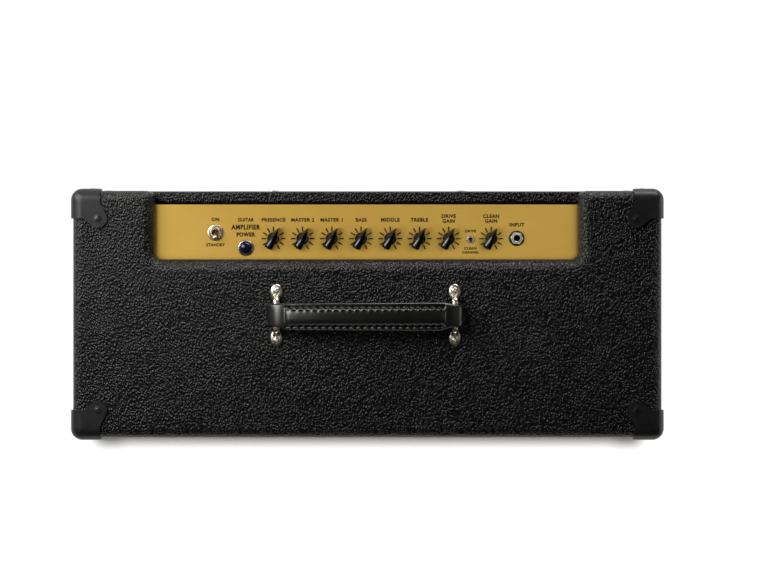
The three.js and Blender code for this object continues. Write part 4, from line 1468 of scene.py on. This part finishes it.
def carried_over():
    """Materials for the CAD nodes that keep their own shapes."""
    looks = {
        PLYWOOD: ["front_baffle"], ZINC: ["control_chassis", "power_chassis"],
        BOARD: ["control_board", "main_circuit_board"],
        IRON: ["power_transformer", "output_transformer", "choke"]
    }
    for material, nodes in looks.items():
        for node in nodes:
            for place in frame["nodes"][node].material_slots:
                place.material = material


# ---- Studio ----


def studio():
    floor = bpy.data.objects.new("floor", bpy.data.meshes.new("floor"))
    bm = bmesh.new()
    bmesh.ops.create_grid(bm, x_segments=8, y_segments=8, size=9)
    bm.to_mesh(floor.data)
    bm.free()
    floor.data.materials.append(floor_finish())
    bpy.context.scene.collection.objects.link(floor)

    light_world(0.03, 0.9)
    floor_alone = lit_group("floor_alone", ["floor"])
    all_but_floor = lit_group("all_but_floor", ["floor"], "EXCLUDE")
    shiny = ["input_socket", "mini_switch_bushing", *[f"pointer_{name}" for name in KNOBS]]
    for side in SIDES:
        shiny += [f"handle_bracket_{side}_loop", f"bracket_screws_{side}"]
    shiny_alone = lit_group("shiny_alone", shiny)
    strap_alone = lit_group("strap_alone", ["strap_leather"])
    printed = ["gold_faceplate", "panel_legend"]
    panel_alone = lit_group("panel_alone", printed)
    all_but_panel = lit_group("all_but_panel", ["floor", *printed], "EXCLUDE")

    # Each softbox: its middle, its width and length, its power, and what it lights.
    softboxes = {
        "key_left": ((-0.7, 0.42, 0.78), (0.5, 0.8), 14.5, all_but_panel),
        "fill_right": ((1.5, 0.2, 1.5), (0.9, 1.4), 1.0, all_but_floor),
        "rim_rear": ((0.5, 1.5, 0.5), (1.3, 0.25), 24, all_but_panel),
        "front_low": ((0.3, -2.4, 0.13), (2.0, 0.24), 8, all_but_floor),
        "side_low": ((2.4, 0.2, 0.13), (1.4, 0.24), 8, all_but_floor),
        "panel_left": ((-1.0, 0.1, 1.4), (1.3, 1.3), 18.5, panel_alone),
        "panel_right": ((0.9, 0.1, 1.5), (1.3, 1.3), 10, panel_alone),
        "shiny_top": ((0.0, 0.2, 3.6), (1.4, 1.4), 6, shiny_alone),
        "strap_left": ((-1.25, 0.1, 1.8), (0.6, 0.6), 6, strap_alone),
    }
    for name, (place, (width, length), power, lit) in softboxes.items():
        lamp = bpy.data.lights.new(name, "AREA")
        lamp.shape = "RECTANGLE"
        lamp.size = width
        lamp.size_y = length
        hang_lamp(lamp, place, power, lit)
    lamp = bpy.data.lights.new("floor_sun", "SUN")
    lamp.angle = math.radians(4)
    hang_lamp(lamp, (0, 0.218, 3), 3.4, floor_alone)

    # Straight above, as in the photograph, and a little off the middle, which frames it as there.
    camera = bpy.data.objects.new("camera", bpy.data.cameras.new("camera"))
    camera.data.lens = 136.5
    camera.data.sensor_width = 36
    camera.data.clip_end = 50
    camera.location = (0.0142, 0.0346, 3.25)
    bpy.context.scene.collection.objects.link(camera)
    bpy.context.scene.camera = camera
    bpy.context.scene.view_settings.view_transform = "Standard"


def lit_group(name, members, state="INCLUDE"):
    """The pieces that a lamp lights, or with EXCLUDE the ones that it leaves out."""
    group = bpy.data.collections.new(name)
    for member in members:
        group.objects.link(bpy.data.objects[member])
    for entry in group.collection_objects:
        entry.light_linking.link_state = state
    return group


def light_world(dim, pale):
    """A dim room whose far wall still looks pale."""
    world = bpy.data.worlds.new("studio")
    world.use_nodes = True
    tree = world.node_tree
    room = tree.nodes["Background"]
    room.inputs["Color"].default_value = (1.0, 0.99, 0.97, 1)
    room.inputs["Strength"].default_value = dim
    wall = tree.nodes.new("ShaderNodeBackground")
    wall.inputs["Color"].default_value = (pale, pale, pale, 1)
    path = tree.nodes.new("ShaderNodeLightPath")
    either = tree.nodes.new("ShaderNodeMixShader")
    tree.links.new(path.outputs["Is Camera Ray"], either.inputs["Fac"])
    tree.links.new(room.outputs["Background"], either.inputs[1])
    tree.links.new(wall.outputs["Background"], either.inputs[2])
    tree.links.new(either.outputs["Shader"], tree.nodes["World Output"].inputs["Surface"])
    bpy.context.scene.world = world


def hang_lamp(lamp, place, power, lit):
    """Aims a lamp at the middle of the cabinet's top; it lights only what the collection says."""
    lamp.energy = power
    lamp.color = (1.0, 0.985, 0.96)
    made = bpy.data.objects.new(lamp.name, lamp)
    made.location = place
    aim = Vector((0, 0, 0.2)) - Vector(place)
    made.rotation_euler = aim.to_track_quat("-Z", "Y").to_euler()
    made.light_linking.receiver_collection = lit
    bpy.context.scene.collection.objects.link(made)


covering()
back_panel("back_panel_upper", VENT_WINDOW)
back_panel("back_panel_lower", SOCKET_WINDOW)
back_screws()
vent_sheet()
grille()
piping()
protectors()
feet()
strap()
stitches()
brackets()
faceplate()
legend()
knobs()
power_switch()
channel_switch()
pilot_lamp()
input_socket()
rear_sockets()
mains_inlet()
mains_switch()
for number in (1, 2):
    valve(f"power_valve_{number}", True)
for number in (1, 2, 3):
    valve(f"preamp_valve_{number}", False)
chassis_screws()
carried_over()
studio()
